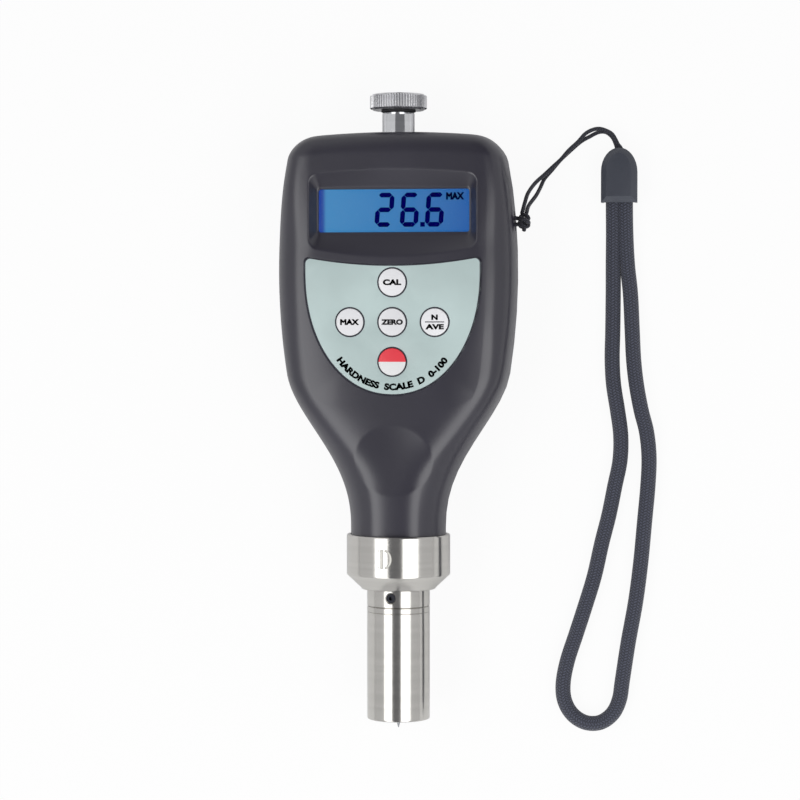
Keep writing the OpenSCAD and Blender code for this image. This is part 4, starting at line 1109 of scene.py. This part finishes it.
def skin_row(s):
    """One row of the front skin, with two columns close to the seam on each side."""
    middle = [front_point(s, a) for a in angles]
    rise = (middle[0].z - AXIS_Z) / FULL_RISE
    edge = []
    for sign, angle, point in ((1, 0, middle[0]), (-1, 180, middle[-1])):
        full = front_point(s, angle)
        edge.append([Vector((full.x - sign * SEAM_IN, full.y, AXIS_Z)),
                     Vector((full.x, full.y, AXIS_Z + min(SEAM_IN, 0.3 * rise))),
                     Vector((mix_values(full.x, point.x, 0.5), full.y, AXIS_Z + EYE_H / 2 * min(rise, 1.0)))])
    return edge[0] + middle + edge[1][::-1]


shell = Skin()
grid = [shell.ring(skin_row(s)) for s in rows]
columns = len(grid[0])
first_patch = 3 + angles.index(PATCH_ANGLE)
last_patch = 3 + angles.index(180 - PATCH_ANGLE)
top_row, end_row = rows.index(PATCH_START), rows.index(PATCH_END)
eye_top, eye_end = rows.index(eye_rows[0]), rows.index(eye_rows[1])
for j in range(len(rows) - 1):
    for i in range(columns - 1):
        in_patch = top_row <= j < end_row and first_patch <= i < last_patch
        in_eye = eye_top <= j < eye_end and i < 2
        if not in_patch and not in_eye:
            shell.faces.append((grid[j][i], grid[j][i + 1], grid[j + 1][i + 1], grid[j + 1][i]))
print("skin grid:", len(rows), "rows of", columns)

# %% [markdown]
# ## Recess of the display
# The recess slopes down from the face to the window. A boolean could cut it, but on a curved skin it
# leaves long faces that shade badly, and rings that lead down from the face shade cleanly. A guard
# ring beside the rim stays at the face's own height, so that the slope doesn't spoil its shading.

# %% Recess of the display
FLAT_GUARD, SLOPE_STEPS = 0.25, 28


def on_face(outline, drop=0.0):
    return [(x, y_at(s), face_z(x, s) - drop) for x, s in outline]


def smooth_ramp(t, blend=0.14):
    """From 0 to 1 in a straight slope with rounded ends."""
    if t < blend:
        return t * t / (2 * blend * (1 - blend))
    if t > 1 - blend:
        return 1 - (1 - t) ** 2 / (2 * blend * (1 - blend))
    return (t - blend / 2) / (1 - blend)


recess_guard = shell.ring(on_face(grown(recess_rim, FLAT_GUARD)))
previous = recess_guard
for t in [k / SLOPE_STEPS for k in range(SLOPE_STEPS + 1)]:
    ring = shell.ring([(mix_values(ox, wx, t), y_at(mix_values(os_, ws, t)),
                        mix_values(face_z(ox, os_), RECESS_Z, smooth_ramp(t)))
                       for (ox, os_), (wx, ws) in zip(recess_rim, window_rim)])
    shell.join(previous, ring)
    previous = ring
for inset, z in ((0.12, RECESS_Z - 0.03), (0.2, RECESS_Z - 0.15), (0.2, LENS_TOP + 0.02)):
    ring = shell.ring([(x, y_at(s), z) for x, s in grown(window_rim, -inset)])
    shell.join(previous, ring)
    previous = ring
print("recess is", round(face_z(0, WINDOW_S) - RECESS_Z, 2), "mm deep")

# %% [markdown]
# ## Keypad pocket and key holes
# The keypad film lies in a shallow pocket whose floor has a hole for each key. It is led down from
# the face in the same way. Last, the two flat stretches that are left, the floor and the open patch
# of the face, are filled with triangles. A grid would have to bend round every rim.

# %% Keypad pocket and key holes
pocket_guard = shell.ring(on_face(grown(pocket_rim, FLAT_GUARD)))
previous = pocket_guard
for inset, drop in ((0.0, 0.0), (0.05, 0.02), (0.1, 0.1), (0.1, 0.5)):
    ring = shell.ring(on_face(grown(pocket_rim, -inset), drop))
    shell.join(previous, ring)
    previous = ring
KEY_ROOM, KEY_HOLE_DEPTH = 0.3, 1.5
key_rims = []
for key in KEYS:
    hole = circle_outline(*key_place(key), KEY_D / 2 + KEY_ROOM)
    rim = shell.ring([(x, y_at(s), POCKET_Z) for x, s in hole])
    hole_end = shell.ring([(x, y_at(s), POCKET_Z - KEY_HOLE_DEPTH) for x, s in hole])
    shell.join(rim, hole_end)
    key_rims.append(rim)
shell.fill(previous, key_rims)
patch_loop = (
    [grid[top_row][i] for i in range(first_patch, last_patch + 1)]
    + [grid[j][last_patch] for j in range(top_row + 1, end_row + 1)]
    + [grid[end_row][i] for i in range(last_patch - 1, first_patch - 1, -1)]
    + [grid[j][first_patch] for j in range(end_row - 1, top_row, -1)])
shell.fill(patch_loop, [recess_guard, pocket_guard])
print("faces so far:", len(shell.faces))

# %% [markdown]
# ## Ends of the front shell and strap eye
# The grid is still open at its top, along the seam and at the eye. Rings that shrink towards the axis
# close the top, a narrow lip turns in along the seam so that the joint of the shells reads as a line,
# and the eye gets a pocket. The normals could be flipped face by face, but Blender finds the outside.

# %% Ends of the front shell and strap eye
previous = grid[0]
for share in (0.75, 0.5, 0.25, 0.02):
    ring = shell.ring([(x * share, TOP_Y - (x * share) ** 2 / (2 * TOP_R), mix_values(AXIS_Z, z, share))
                       for x, y, z in (shell.points[n] for n in grid[0])])
    shell.join(previous, ring, closed=False)
    previous = ring
LIP_IN, LIP_RISE = 1.4, 0.05
for end in (0, -1):
    seam = [row[end] for row in grid]
    lip = shell.ring([(x - math.copysign(LIP_IN, x), y, AXIS_Z + LIP_RISE)
                      for x, y, z in (shell.points[n] for n in seam)])
    shell.join(seam, lip, closed=False)
mouth = (
    [grid[eye_top][i] for i in range(3)] + [grid[j][2] for j in range(eye_top + 1, eye_end)]
    + [grid[eye_end][i] for i in (2, 1, 0)])
bottom = shell.ring([(EYE_X - EYE_DEPTH, shell.points[n][1], shell.points[n][2]) for n in mouth])
shell.join(mouth, bottom, closed=False)
shell.faces.append(tuple(bottom))


def face_outward(piece):
    """Turns the normals of all faces to the outside."""
    bm = bmesh.new()
    bm.from_mesh(piece.data)
    bmesh.ops.recalc_face_normals(bm, faces=bm.faces)
    bm.to_mesh(piece.data)
    bm.free()


front_case = mesh_piece("front_case", shell.points, shell.faces)
face_outward(front_case)
front_case.data.materials.append(case_plastic)
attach(front_case, "housing")
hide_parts("front_shell")
print("front case:", len(front_case.data.polygons), "faces")

# %% [markdown]
# ## CAD pieces that keep their shape
# The rear shell, door, film, clip and all that is inside are right as modelled. They could be built
# again here, but that would only repeat the CAD source. Their facets are shaded smooth up to an
# angle, a small bevel takes the sharpness off the edges that show, and each gets its own finish.

# %% Dress the CAD nodes


def dress(name, material, bevel=0.0, angle=35.0):
    piece = nodes[name]
    piece.data.materials.clear()
    piece.data.materials.append(material)
    piece.data.shade_smooth()
    weld = piece.modifiers.new("weld", "WELD")
    weld.merge_threshold = 0.000002
    if bevel:
        edge = piece.modifiers.new("edge", "BEVEL")
        edge.width = bevel * MM
        edge.segments = 2
        edge.limit_method = "ANGLE"
        edge.angle_limit = math.radians(angle)
    split = piece.modifiers.new("split", "EDGE_SPLIT")
    split.split_angle = math.radians(angle)
    return piece


FINISHES = (
    (case_plastic, 0, ["rear_shell"]), (door_plastic, 0, ["battery_door"]),
    (panel_film, 0.08, ["keypad_panel"]), (clip_plastic, 0.35, ["strap_clip"]),
    (frame_plastic, 0, ["display_frame"]), (frame_plastic, 0.1, ["board_chips"]),
    (inner_plastic, 0, ["sensor_socket", "coil_former"]), (brass, 0, ["guide_bush", "spring_adjuster"]),
    (hard_steel, 0, ["spindle", "indenter"]), (wire_steel, 0, ["main_spring", "contact_springs"]),
    (zinc, 0, ["contact_plates", "key_domes", "case_fixings", "board_fixings", "post_nut", "strap_pin"]),
    (copper, 0, ["coil_winding"]), (black_steel, 0, ["set_screw", "sensor_core"]),
    (black_rubber, 0.06, ["head_washer"]), (light_plastic, 0, ["lcd_backlight"]),
    (contact_rubber, 0, ["contact_strips"]), (lead_sleeve, 0, ["sensor_lead"]),
    (board_green, 0, ["main_board"]))
for material, bevel, names in FINISHES:
    for name in names:
        dress(name, material, bevel)
for key in KEYS:
    dress("key_" + key, power_plastic if key == "power" else key_plastic, 0.12)
CELLS = 4
for number in range(1, CELLS + 1):
    dress("battery_%d" % number, cell_wrap)
print("CAD pieces dressed:", sum(len(names) for _, _, names in FINISHES) + len(KEYS) + CELLS)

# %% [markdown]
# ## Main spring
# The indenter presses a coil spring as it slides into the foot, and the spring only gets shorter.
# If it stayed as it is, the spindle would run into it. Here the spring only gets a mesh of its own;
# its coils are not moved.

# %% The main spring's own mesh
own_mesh(nodes["main_spring"])

# %% [markdown]
# ## Figures on the display
# The display is a backlit liquid crystal, and its figures are bars that block the light. A font
# could draw them, but seven straight bars make every figure, each a six-sided outline that leans a
# little. They are flat dark shapes just over the glass, under the clear lens.

# %% Display glass, lens and figures
dress("lcd_glass", lcd_blue)
dress("lcd_window", clear_lens)
DIGIT_W, DIGIT_H, BAR = 5.0, 9.25, 1.28
DIGIT_SLANT = math.tan(math.radians(4.0))
DIGIT_GAP = 0.06
DIGIT_LIFT = 0.3
SEGMENTS = {"2": "abged", "6": "afgedc"}
BARS = {"a": (0, 1, 1, 1), "b": (1, 1, 1, 0), "c": (1, 0, 1, -1), "d": (0, -1, 1, -1),
        "e": (0, 0, 0, -1), "f": (0, 1, 0, 0), "g": (0, 0, 1, 0)}


def digit_bars(figure, centre):
    """The bars of one figure as six-sided outlines, leaning like the real ones."""
    half_w, half_h = (DIGIT_W - BAR) / 2, (DIGIT_H - BAR) / 2
    outlines = []
    for letter in SEGMENTS[figure]:
        ax, ay, bx, by = BARS[letter]
        a = Vector(((2 * ax - 1) * half_w, ay * half_h))
        b = Vector(((2 * bx - 1) * half_w, by * half_h))
        along = (b - a).normalized()
        side = Vector((-along.y, along.x)) * BAR / 2
        a, b = a + along * DIGIT_GAP, b - along * DIGIT_GAP
        step = along * BAR / 2
        outlines.append([a, a + step + side, b - step + side, b, b - step - side, a + step - side])
    return [[(centre + p.x + p.y * DIGIT_SLANT, p.y) for p in outline] for outline in outlines]


READING = (("2", -2.71), ("6", 4.17), ("6", 11.0))
shapes = [bar for figure, centre in READING for bar in digit_bars(figure, centre)]
DOT_X, DOT = 7.64, 0.62
shapes.append([(DOT_X + dx * DOT, -DIGIT_H / 2 + BAR / 2 + dy * DOT) for dx, dy in SQUARE])
INK_LIFT = 0.03
glass_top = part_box("lcd_glass")[1][2] / MM
digit_points, digit_faces = [], []
for outline in shapes:
    first = len(digit_points)
    digit_points += [(x, y_at(WINDOW_S) + y + DIGIT_LIFT, glass_top + INK_LIFT) for x, y in outline]
    digit_faces.append(tuple(range(first, first + len(outline))))
digits = mesh_piece("display_digits", digit_points, digit_faces, smooth=False)
digits.data.materials.append(digit_ink)
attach(digits, "housing")
print("digit bars:", len(digit_faces))

# %% [markdown]
# ## Lettering
# The keys carry plain words for what they do, and the film an arc of generic words. An image could
# hold the print, but outlines stay sharp at any distance. Blender's own font gives them: each word is
# measured, scaled to its height and width, and laid just over its surface as print is.

# %% Word helpers


def word_outline(text, height, width=None, bold=0.06):
    """Points and faces of a word, centred on its own middle and standing on its baseline."""
    curve = bpy.data.curves.new(text, "FONT")
    curve.body = text
    curve.bevel_depth = bold
    curve.bevel_resolution = 0
    curve.resolution_u = 4
    carrier = bpy.data.objects.new(text, curve)
    bpy.context.scene.collection.objects.link(carrier)
    mesh = carrier.to_mesh()
    points = [(v.co.x, v.co.y) for v in mesh.vertices]
    faces = [tuple(f.vertices) for f in mesh.polygons]
    carrier.to_mesh_clear()
    bpy.data.objects.remove(carrier)
    left, right = min(x for x, _ in points), max(x for x, _ in points)
    low, high = min(y for _, y in points), max(y for _, y in points)
    up = height / (high - low)
    across = width / (right - left) if width else up
    return [((x - (left + right) / 2) * across, (y - low) * up) for x, y in points], faces


def print_words(name, words, z, material, body):
    """One printed piece from words, each with text, x and y of its baseline, height and width."""
    points, faces = [], []
    for text, x, y, height, width in words:
        outline, word_faces = word_outline(text, height, width)
        first = len(points)
        points += [(x + px, y + py, z) for px, py in outline]
        faces += [tuple(first + n for n in face) for face in word_faces]
    piece = mesh_piece(name, points, faces, smooth=False)
    piece.data.materials.append(material)
    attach(piece, body)
    return piece


print("word helpers ready")

# %% [markdown]
# ## Key caps and printed rings
# Each key shows a flat cap with a softly rounded rim, inside a dark ring that is printed on the
# film. A bevel on the CAD key could round it, but the caps in the photograph measure a shade wider
# than the CAD keys, so a thin cap of its own rides on each key. The rings belong to the film.

# %% Key caps and rings
PRINT_LIFT = 0.02
CAP_R, RING_IN_R, RING_OUT_R = 3.66, KEY_D / 2 + 0.28, 4.08
CAP_PROFILE = ((0.0, 0.3), (0.0, 0.12), (0.06, 0.04), (0.18, 0.01))
key_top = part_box("key_zero")[1][2] / MM + PRINT_LIFT
panel_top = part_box("keypad_panel")[1][2] / MM + PRINT_LIFT
key_rings = Skin()
for key in KEYS:
    place = key_place(key)
    cap = Skin()
    rings = [cap.ring([(x, y_at(s), key_top - drop) for x, s in circle_outline(*place, CAP_R - inset)])
             for inset, drop in CAP_PROFILE]
    for lower, upper in zip(rings, rings[1:]):
        cap.join(lower, upper)
    cap.faces.append(tuple(rings[-1]))
    piece = mesh_piece("cap_" + key, cap.points, cap.faces)
    piece.data.materials.append(power_plastic if key == "power" else key_plastic)
    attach(piece, "button_" + key)
    key_rings.join(*[key_rings.ring([(x, y_at(s), panel_top) for x, s in circle_outline(*place, r)])
                     for r in (RING_OUT_R, RING_IN_R)])
ring_print = mesh_piece("key_rings", key_rings.points, key_rings.faces, smooth=False)
ring_print.data.materials.append(print_and_shadow_ink)
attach(ring_print, "housing")
print("key caps:", len(KEYS), "and ring faces:", len(key_rings.faces))

# %% [markdown]
# ## Words on the keys and the display
# The words of a key are a piece that rides on that key, so that they go in when it is pressed. One
# print for the whole keypad would stay behind. The small word on the display is ink like the figures.

# %% Words on the keys and the display
LEGENDS = {
    "calibrate": [("CAL", 0, -0.8, 1.6, 5.0)],
    "maximum": [("MAX", 0, -0.8, 1.6, 5.2)],
    "zero": [("ZERO", 0, -0.75, 1.5, 5.9)],
    "average": [("N", 0, 0.55, 1.46, 1.75), ("AVE", 0, -2.0, 1.46, 5.0)]}
for key, words in LEGENDS.items():
    x, s = key_place(key)
    placed = [(text, x + dx, y_at(s) + dy, h, w) for text, dx, dy, h, w in words]
    print_words("legend_" + key, placed, key_top, print_and_shadow_ink, "button_" + key)
RULE_HALF_W, RULE_HALF_H, RULE_UP = 2.6, 0.13, 0.02
x, s = key_place("average")
rule_corners = [(x + dx * RULE_HALF_W, y_at(s) + RULE_UP + dy * RULE_HALF_H, key_top) for dx, dy in SQUARE]
rule = mesh_piece("legend_rule", rule_corners, [(0, 1, 2, 3)])
rule.data.materials.append(print_and_shadow_ink)
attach(rule, "button_average")
display_words = [("MAX", 16.5, y_at(WINDOW_S) + 2.95, 1.98, 4.9)]
print_words("display_word", display_words, glass_top + INK_LIFT, digit_ink, "housing")
print("words printed:", sum(len(words) for words in LEGENDS.values()) + len(display_words))

# %% [markdown]
# ## Words and border on the film
# Generic words for the scale follow the film's lower edge. A curve modifier could bend them, but
# turning each point round a centre is one line: the way along the word becomes an angle, and its
# height a smaller radius. A thin dark band runs round the film's edge: partly a printed border and
# partly a painted shadow of the gap between the film and its pocket.

# %% Words and border on the film
ARC_R, ARC_HEIGHT, ARC_LEN = 18.4, 1.9, 36.0
outline, faces = word_outline("HARDNESS  SCALE  D  0-100", ARC_HEIGHT, ARC_LEN)
arc_points = []
for u, v in outline:
    a = u / ARC_R
    arc_points.append(((ARC_R - v) * math.sin(a), y_at(KEY_ROW_S) - (ARC_R - v) * math.cos(a), panel_top))
arc_words = mesh_piece("panel_words", arc_points, faces, smooth=False)
arc_words.data.materials.append(print_and_shadow_ink)
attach(arc_words, "housing")
# The dark band is partly printed border and partly painted shadow of the pocket's gap.
BORDER_SHADOW_OUT, BORDER_SHADOW_IN, BORDER_SHADOW_DROP = -0.02, -0.3, 0.005
border_and_shadow = Skin()
border_and_shadow.join(*[border_and_shadow.ring([(x, y_at(s), panel_top - BORDER_SHADOW_DROP) for x, s in panel_outline(grow)])
              for grow in (BORDER_SHADOW_OUT, BORDER_SHADOW_IN)])
panel_border_and_shadow = mesh_piece("panel_border_and_shadow", border_and_shadow.points, border_and_shadow.faces)
panel_border_and_shadow.data.materials.append(print_and_shadow_ink)
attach(panel_border_and_shadow, "housing")
print("arc of words:", len(arc_words.data.polygons), "faces")

# %% [markdown]
# ## Lathe
# The collar, foot, post and screw head are lathe work. Blender's Screw modifier could spin a profile,
# but rings of our own can also change their radius round the axis, which the knurl needs. Edges
# sharper than an angle are split, so that a chamfer doesn't smear the shading of the face beside it.

# %% Lathe


def lathe(name, start_s, profile, steps=144, radius=None):
    """A closed profile of depth and radius pairs, spun round the instrument's axis."""
    skin = Skin()
    rings = []
    for depth, r in profile:
        ring = []
        for k in range(steps):
            a = 2 * math.pi * k / steps
            size = radius(a, r) if radius else r
            ring.append((size * math.cos(a), y_at(start_s + depth), AXIS_Z + size * math.sin(a)))
        rings.append(skin.ring(ring))
    for first, second in zip(rings, rings[1:] + rings[:1]):
        skin.join(first, second)
    piece = mesh_piece(name, skin.points, skin.faces)
    face_outward(piece)
    return piece


def sharpen(piece, angle=24.0):
    split = piece.modifiers.new("split", "EDGE_SPLIT")
    split.split_angle = math.radians(angle)


def cut(piece, cutter):
    """Takes the cutter out of the piece and removes it."""
    modifier = piece.modifiers.new("cut", "BOOLEAN")
    modifier.object = cutter
    modifier.solver = "EXACT"
    bpy.context.view_layer.update()
    view = bpy.context.evaluated_depsgraph_get()
    shaped = bpy.data.meshes.new_from_object(piece.evaluated_get(view))
    piece.modifiers.clear()
    piece.data = shaped
    bpy.data.objects.remove(cutter)


print("lathe ready")

# %% [markdown]
# ## Collar
# The collar is a turned steel cup that takes the neck of the case, with a taper down to the foot and
# a hole for the set screw. Rings right beside its rims keep the long faces evenly shaded. The hole
# could be a dark disc, but then it would be flat from the side, so a boolean cuts a straight bore
# with a small countersink.

# %% Collar
RIM = 0.4
SHOULDER_R, NECK_OUT_R, SPIGOT_R, SOCKET_R, SOCKET_DEPTH = 10.3, FOOT_R, 6.04, 13.2, 9.0
taper_end = COLLAR_LEN + TAPER_LEN
collar_end = taper_end + COLLAR_NECK_LEN
collar = lathe("collar_turned", CASE_LEN, [
    (0, SOCKET_R), (0, COLLAR_R - RIM), (0.12, COLLAR_R - 0.12), (RIM, COLLAR_R), (RIM + 0.15, COLLAR_R),
    (COLLAR_LEN - 0.3, COLLAR_R), (COLLAR_LEN - 0.1, COLLAR_R), (COLLAR_LEN + 0.1, COLLAR_R - 0.06),
    (taper_end - RIM, SHOULDER_R), (taper_end - 0.1, SHOULDER_R - 0.16), (taper_end, SHOULDER_R - RIM),
    (taper_end, NECK_OUT_R), (collar_end - 0.2, NECK_OUT_R), (collar_end, NECK_OUT_R - 0.2),
    (collar_end, SPIGOT_R), (SOCKET_DEPTH, SPIGOT_R), (SOCKET_DEPTH, SOCKET_R)])
SCREW_TURN = math.radians(8.0)
BORE_R, SINK_R, BORE_STEPS = 1.25, 1.75, 32
screw_s = CASE_LEN + taper_end + COLLAR_NECK_LEN / 2 - 0.3
bore_profile = [(SPIGOT_R - 1, BORE_R), (NECK_OUT_R - 0.35, BORE_R),
                (NECK_OUT_R + 0.15, SINK_R), (NECK_OUT_R + 1, SINK_R)]
bore = Skin()
rings = []
out = Vector((-math.sin(SCREW_TURN), 0, math.cos(SCREW_TURN)))
across = Vector((math.cos(SCREW_TURN), 0, math.sin(SCREW_TURN)))
along = Vector((0, 1, 0))
turns = [2 * math.pi * k / BORE_STEPS for k in range(BORE_STEPS)]
for reach, r in bore_profile:
    middle = Vector((0, y_at(screw_s), AXIS_Z)) + out * reach
    rings.append(bore.ring([middle + r * (across * math.cos(t) + along * math.sin(t)) for t in turns]))
for first, second in zip(rings, rings[1:]):
    bore.join(first, second)
bore.faces += [tuple(rings[0][::-1]), tuple(rings[-1])]
cut(collar, mesh_piece("screw_bore", bore.points, bore.faces))
collar.data.materials.clear()
collar.data.materials.append(steel)
sharpen(collar)
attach(collar, "housing")
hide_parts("collar")
print("collar:", len(collar.data.polygons), "faces")

# %% [markdown]
# ## Scale letter on the collar
# The collar carries the letter of the hardness scale, cut into the steel and filled pale. Cutting it
# would need a boolean on a mirror-like face, where every stray edge shows. So its strokes are thin
# strips that follow the cylinder, over slightly wider darker ones: painted shade for the shaded
# wall at the edge of the cut.

# %% Scale letter
LETTER_S, LETTER_H = 115.5, 4.8
SERIF, STEM, BOWL = 0.22, 0.5, 0.55
STEM_X, SERIF_X, SERIF_END_X, BOWL_X, BOWL_R = -1.15, -1.75, 0.1, 0.05, 1.75


def letter_piece(name, grow, lift, material):
    """The letter's strokes, widened by grow on every side and lifted off the steel."""
    mark = Skin()

    def stroke(outer, inner):
        rings = []
        for points in (outer, inner):
            turned = [(-SCREW_TURN + x / COLLAR_R, y) for x, y in points]
            r = COLLAR_R + lift
            rings.append(mark.ring([(r * math.sin(a), y_at(LETTER_S) + y, AXIS_Z + r * math.cos(a))
                                    for a, y in turned]))
        mark.join(*rings, closed=False)

    top = LETTER_H / 2
    low, high = -top - grow, top + grow
    left, right = STEM_X - grow, STEM_X + STEM + grow
    stroke([(left, low), (left, high)], [(right, low), (right, high)])
    for side in (-1, 1):
        outer, inner = side * (top + grow), side * (top - SERIF - grow)
        stroke(*[[(SERIF_X - grow, y), (SERIF_END_X, y)] for y in (outer, inner)])
    bowl_in, high_in = BOWL_R - BOWL - grow, top - SERIF - grow
    turns = [math.radians(-90 + 7.5 * k) for k in range(25)]
    stroke([(BOWL_X + (BOWL_R + grow) * math.cos(t), high * math.sin(t)) for t in turns],
           [(BOWL_X + bowl_in * math.cos(t), high_in * math.sin(t)) for t in turns])
    piece = mesh_piece(name, mark.points, mark.faces)
    piece.data.materials.append(material)
    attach(piece, "housing")
    return piece


scale_letter = letter_piece("scale_letter", 0.0, 0.015, letter_fill)
# The wider, darker strips are painted shade along the edge of the cut.
letter_cut_shade = letter_piece("letter_cut_shade", 0.14, 0.008, letter_edge_shade)
print("scale letter:", len(scale_letter.data.polygons), "faces, rim:", len(letter_cut_shade.data.polygons))

# %% [markdown]
# ## Presser foot
# The foot is a plain turned barrel that stands on the material under test, with one fine line below
# its seam and a hole for the point in its floor. It could be a cylinder with a boolean, but one
# profile gives the bore, floor, spigot and chamfers at once.

# %% Presser foot
FOOT_BORE_R, FOOT_HOLE_R, FOOT_FLOOR, SPIGOT_OUT_R, SPIGOT_LEN = 4.6, 1.5, 2.5, 6.0, 10.65
LINE_Z, LINE, SEAM_GAP = 1.6, 0.12, 0.05
foot = lathe("presser_foot_turned", FOOT_S, [
    (-SPIGOT_LEN, FOOT_BORE_R), (-SPIGOT_LEN, SPIGOT_OUT_R), (SEAM_GAP, SPIGOT_OUT_R),
    (SEAM_GAP, FOOT_R - 0.2), (0.25, FOOT_R), (LINE_Z - LINE, FOOT_R), (LINE_Z, FOOT_R - LINE),
    (LINE_Z + LINE, FOOT_R), (FOOT_LEN - RIM - 0.15, FOOT_R), (FOOT_LEN - RIM, FOOT_R),
    (FOOT_LEN - 0.12, FOOT_R - 0.12), (FOOT_LEN, FOOT_R - RIM), (FOOT_LEN, FOOT_HOLE_R),
    (FOOT_LEN - FOOT_FLOOR, FOOT_HOLE_R), (FOOT_LEN - FOOT_FLOOR, FOOT_BORE_R)])
foot.data.materials.append(steel)
sharpen(foot)
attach(foot, "housing")
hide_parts("presser_foot")
print("foot:", len(foot.data.polygons), "faces")

# %% [markdown]
# ## Post
# A plated post stands on the top of the case and takes the thumb screw. It could be two cylinders,
# but the lathe gives its body, the shank through the case's wall and the blind bore in one piece.
# The bore's thread is left out, because none of it can be seen.

# %% Post
POST_R, POST_H, SHANK_R, SHANK_LEN, THREAD_R, BORE_END = 4.4, 6.0, 3.0, 6.2, 2.04, 3.0
AXIS_R, SEAT_GAP = 0.01, 0.01
post = lathe("post_turned", 0, [
    (SHANK_LEN, AXIS_R), (SHANK_LEN, SHANK_R), (-SEAT_GAP, SHANK_R), (-SEAT_GAP, POST_R),
    (-POST_H + 0.5, POST_R), (-POST_H + 0.15, POST_R - 0.15), (-POST_H, POST_R - 0.5),
    (-POST_H, THREAD_R), (BORE_END, THREAD_R), (BORE_END, AXIS_R)], 96)
post.data.materials.append(chrome)
sharpen(post)
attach(post, "housing")
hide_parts("mount_post")
print("post:", len(post.data.polygons), "faces")

# %% [markdown]
# ## Thumb screw
# The thumb screw's head has a straight knurl for the fingers. Bump would leave its outline smooth, so
# the grooves are real: the lathe asks a function for the radius at each angle, and the function sinks
# a groove between each two ridges. The shank below is plain.

# %% Thumb screw
HEAD_R, HEAD_H, KNURLS, KNURL_DEPTH, WASHER_T = 7.8, 4.3, 60, 0.55, 0.5
KNURL_SIDES, SHANK_END_R = 8, 1.6


def knurled(a, r):
    """Straight V grooves, only in the part of the head that is wide enough for them."""
    if r < HEAD_R - KNURL_DEPTH:
        return r
    from_ridge = abs((KNURLS * a / (2 * math.pi) + 0.5) % 1.0 - 0.5) * 2
    return r - KNURL_DEPTH * max(0.0, from_ridge - 0.15) / 0.85


head_start = -POST_H - WASHER_T
groove_r = HEAD_R - KNURL_DEPTH - 0.02
shank_end = WASHER_T + POST_H + 1.0
head = lathe("knurled_head", head_start, [
    (-SEAT_GAP, 2.0), (-SEAT_GAP, HEAD_R - 0.8), (-0.3, groove_r), (-0.31, HEAD_R - 0.25), (-0.5, HEAD_R),
    (-HEAD_H + 0.5, HEAD_R), (-HEAD_H + 0.31, HEAD_R - 0.25), (-HEAD_H + 0.3, groove_r),
    (-HEAD_H, HEAD_R - 0.8), (-HEAD_H, AXIS_R), (shank_end, AXIS_R), (shank_end, SHANK_END_R),
    (shank_end - 0.4, 2.0)], KNURLS * KNURL_SIDES, knurled)
head.data.materials.append(knurl_plate)
sharpen(head, 30.0)
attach(head, "screw")
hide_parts("thumb_screw")
print("knurled head:", len(head.data.polygons), "faces")

# %% [markdown]
# ## Knot
# The string is knotted close to the case: a loop passes round the pin in the side pocket, and the
# knot sits outside. A real overhand knot could be traced point by point, but at this size a torus
# knot looks as tight and lumpy and has a simple formula: it goes round its ring twice and winds
# about it five times. A short tail sticks out below.

# %% Knot at the eye
PIN_X, PIN_R = EYE_X - 1.9, 0.8
LOOP_R = PIN_R + STRING_D / 2 + 0.1
KNOT_RING, KNOT_FAT, KNOT_LONG, KNOT_TURNS, KNOT_WRAPS = 1.0, 0.72, 1.15, 2, 5
KNOT_STEPS = 160
knot_path = []
for k in range(KNOT_STEPS + 1):
    t = 2 * math.pi * k / KNOT_STEPS
    out = KNOT_RING + KNOT_FAT * math.cos(KNOT_WRAPS * t)
    knot_path.append(Vector((
        KNOT_X + KNOT_LONG * math.sin(KNOT_WRAPS * t), KNOT_Y + out * math.cos(KNOT_TURNS * t),
        AXIS_Z + out * math.sin(KNOT_TURNS * t))))
loop_path = [Vector((KNOT_X - 0.8, KNOT_Y - 0.6, AXIS_Z))]
for k in range(25):
    a = math.radians(-105 - 150 * k / 24)
    loop_path.append(Vector((PIN_X + LOOP_R * math.cos(a), KNOT_Y + LOOP_R * math.sin(a), AXIS_Z)))
loop_path.append(Vector((KNOT_X - 0.8, KNOT_Y + 0.6, AXIS_Z)))
tail_path = smooth_route([
    (KNOT_X + 0.2, KNOT_Y - 0.8, AXIS_Z + 0.4), (KNOT_X + 0.1, KNOT_Y - 1.8, AXIS_Z + 0.2),
    (KNOT_X - 0.1, KNOT_Y - 2.5, AXIS_Z - 0.3)], 6)
knot_paths = (("knot_wraps", knot_path), ("knot_loop", loop_path), ("knot_tail", tail_path))
parts = [tube(name, path, STRING_D / 2, 12) for name, path in knot_paths]
bm = bmesh.new()
for part in parts:
    bm.from_mesh(part.data)
knot = parts[0]
bm.to_mesh(knot.data)
bm.free()
for part in parts[1:]:
    bpy.data.objects.remove(part)
knot.data.materials.append(string_twist)
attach(knot, "housing")
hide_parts("strap_knot")
print("knot:", len(knot.data.polygons), "faces")
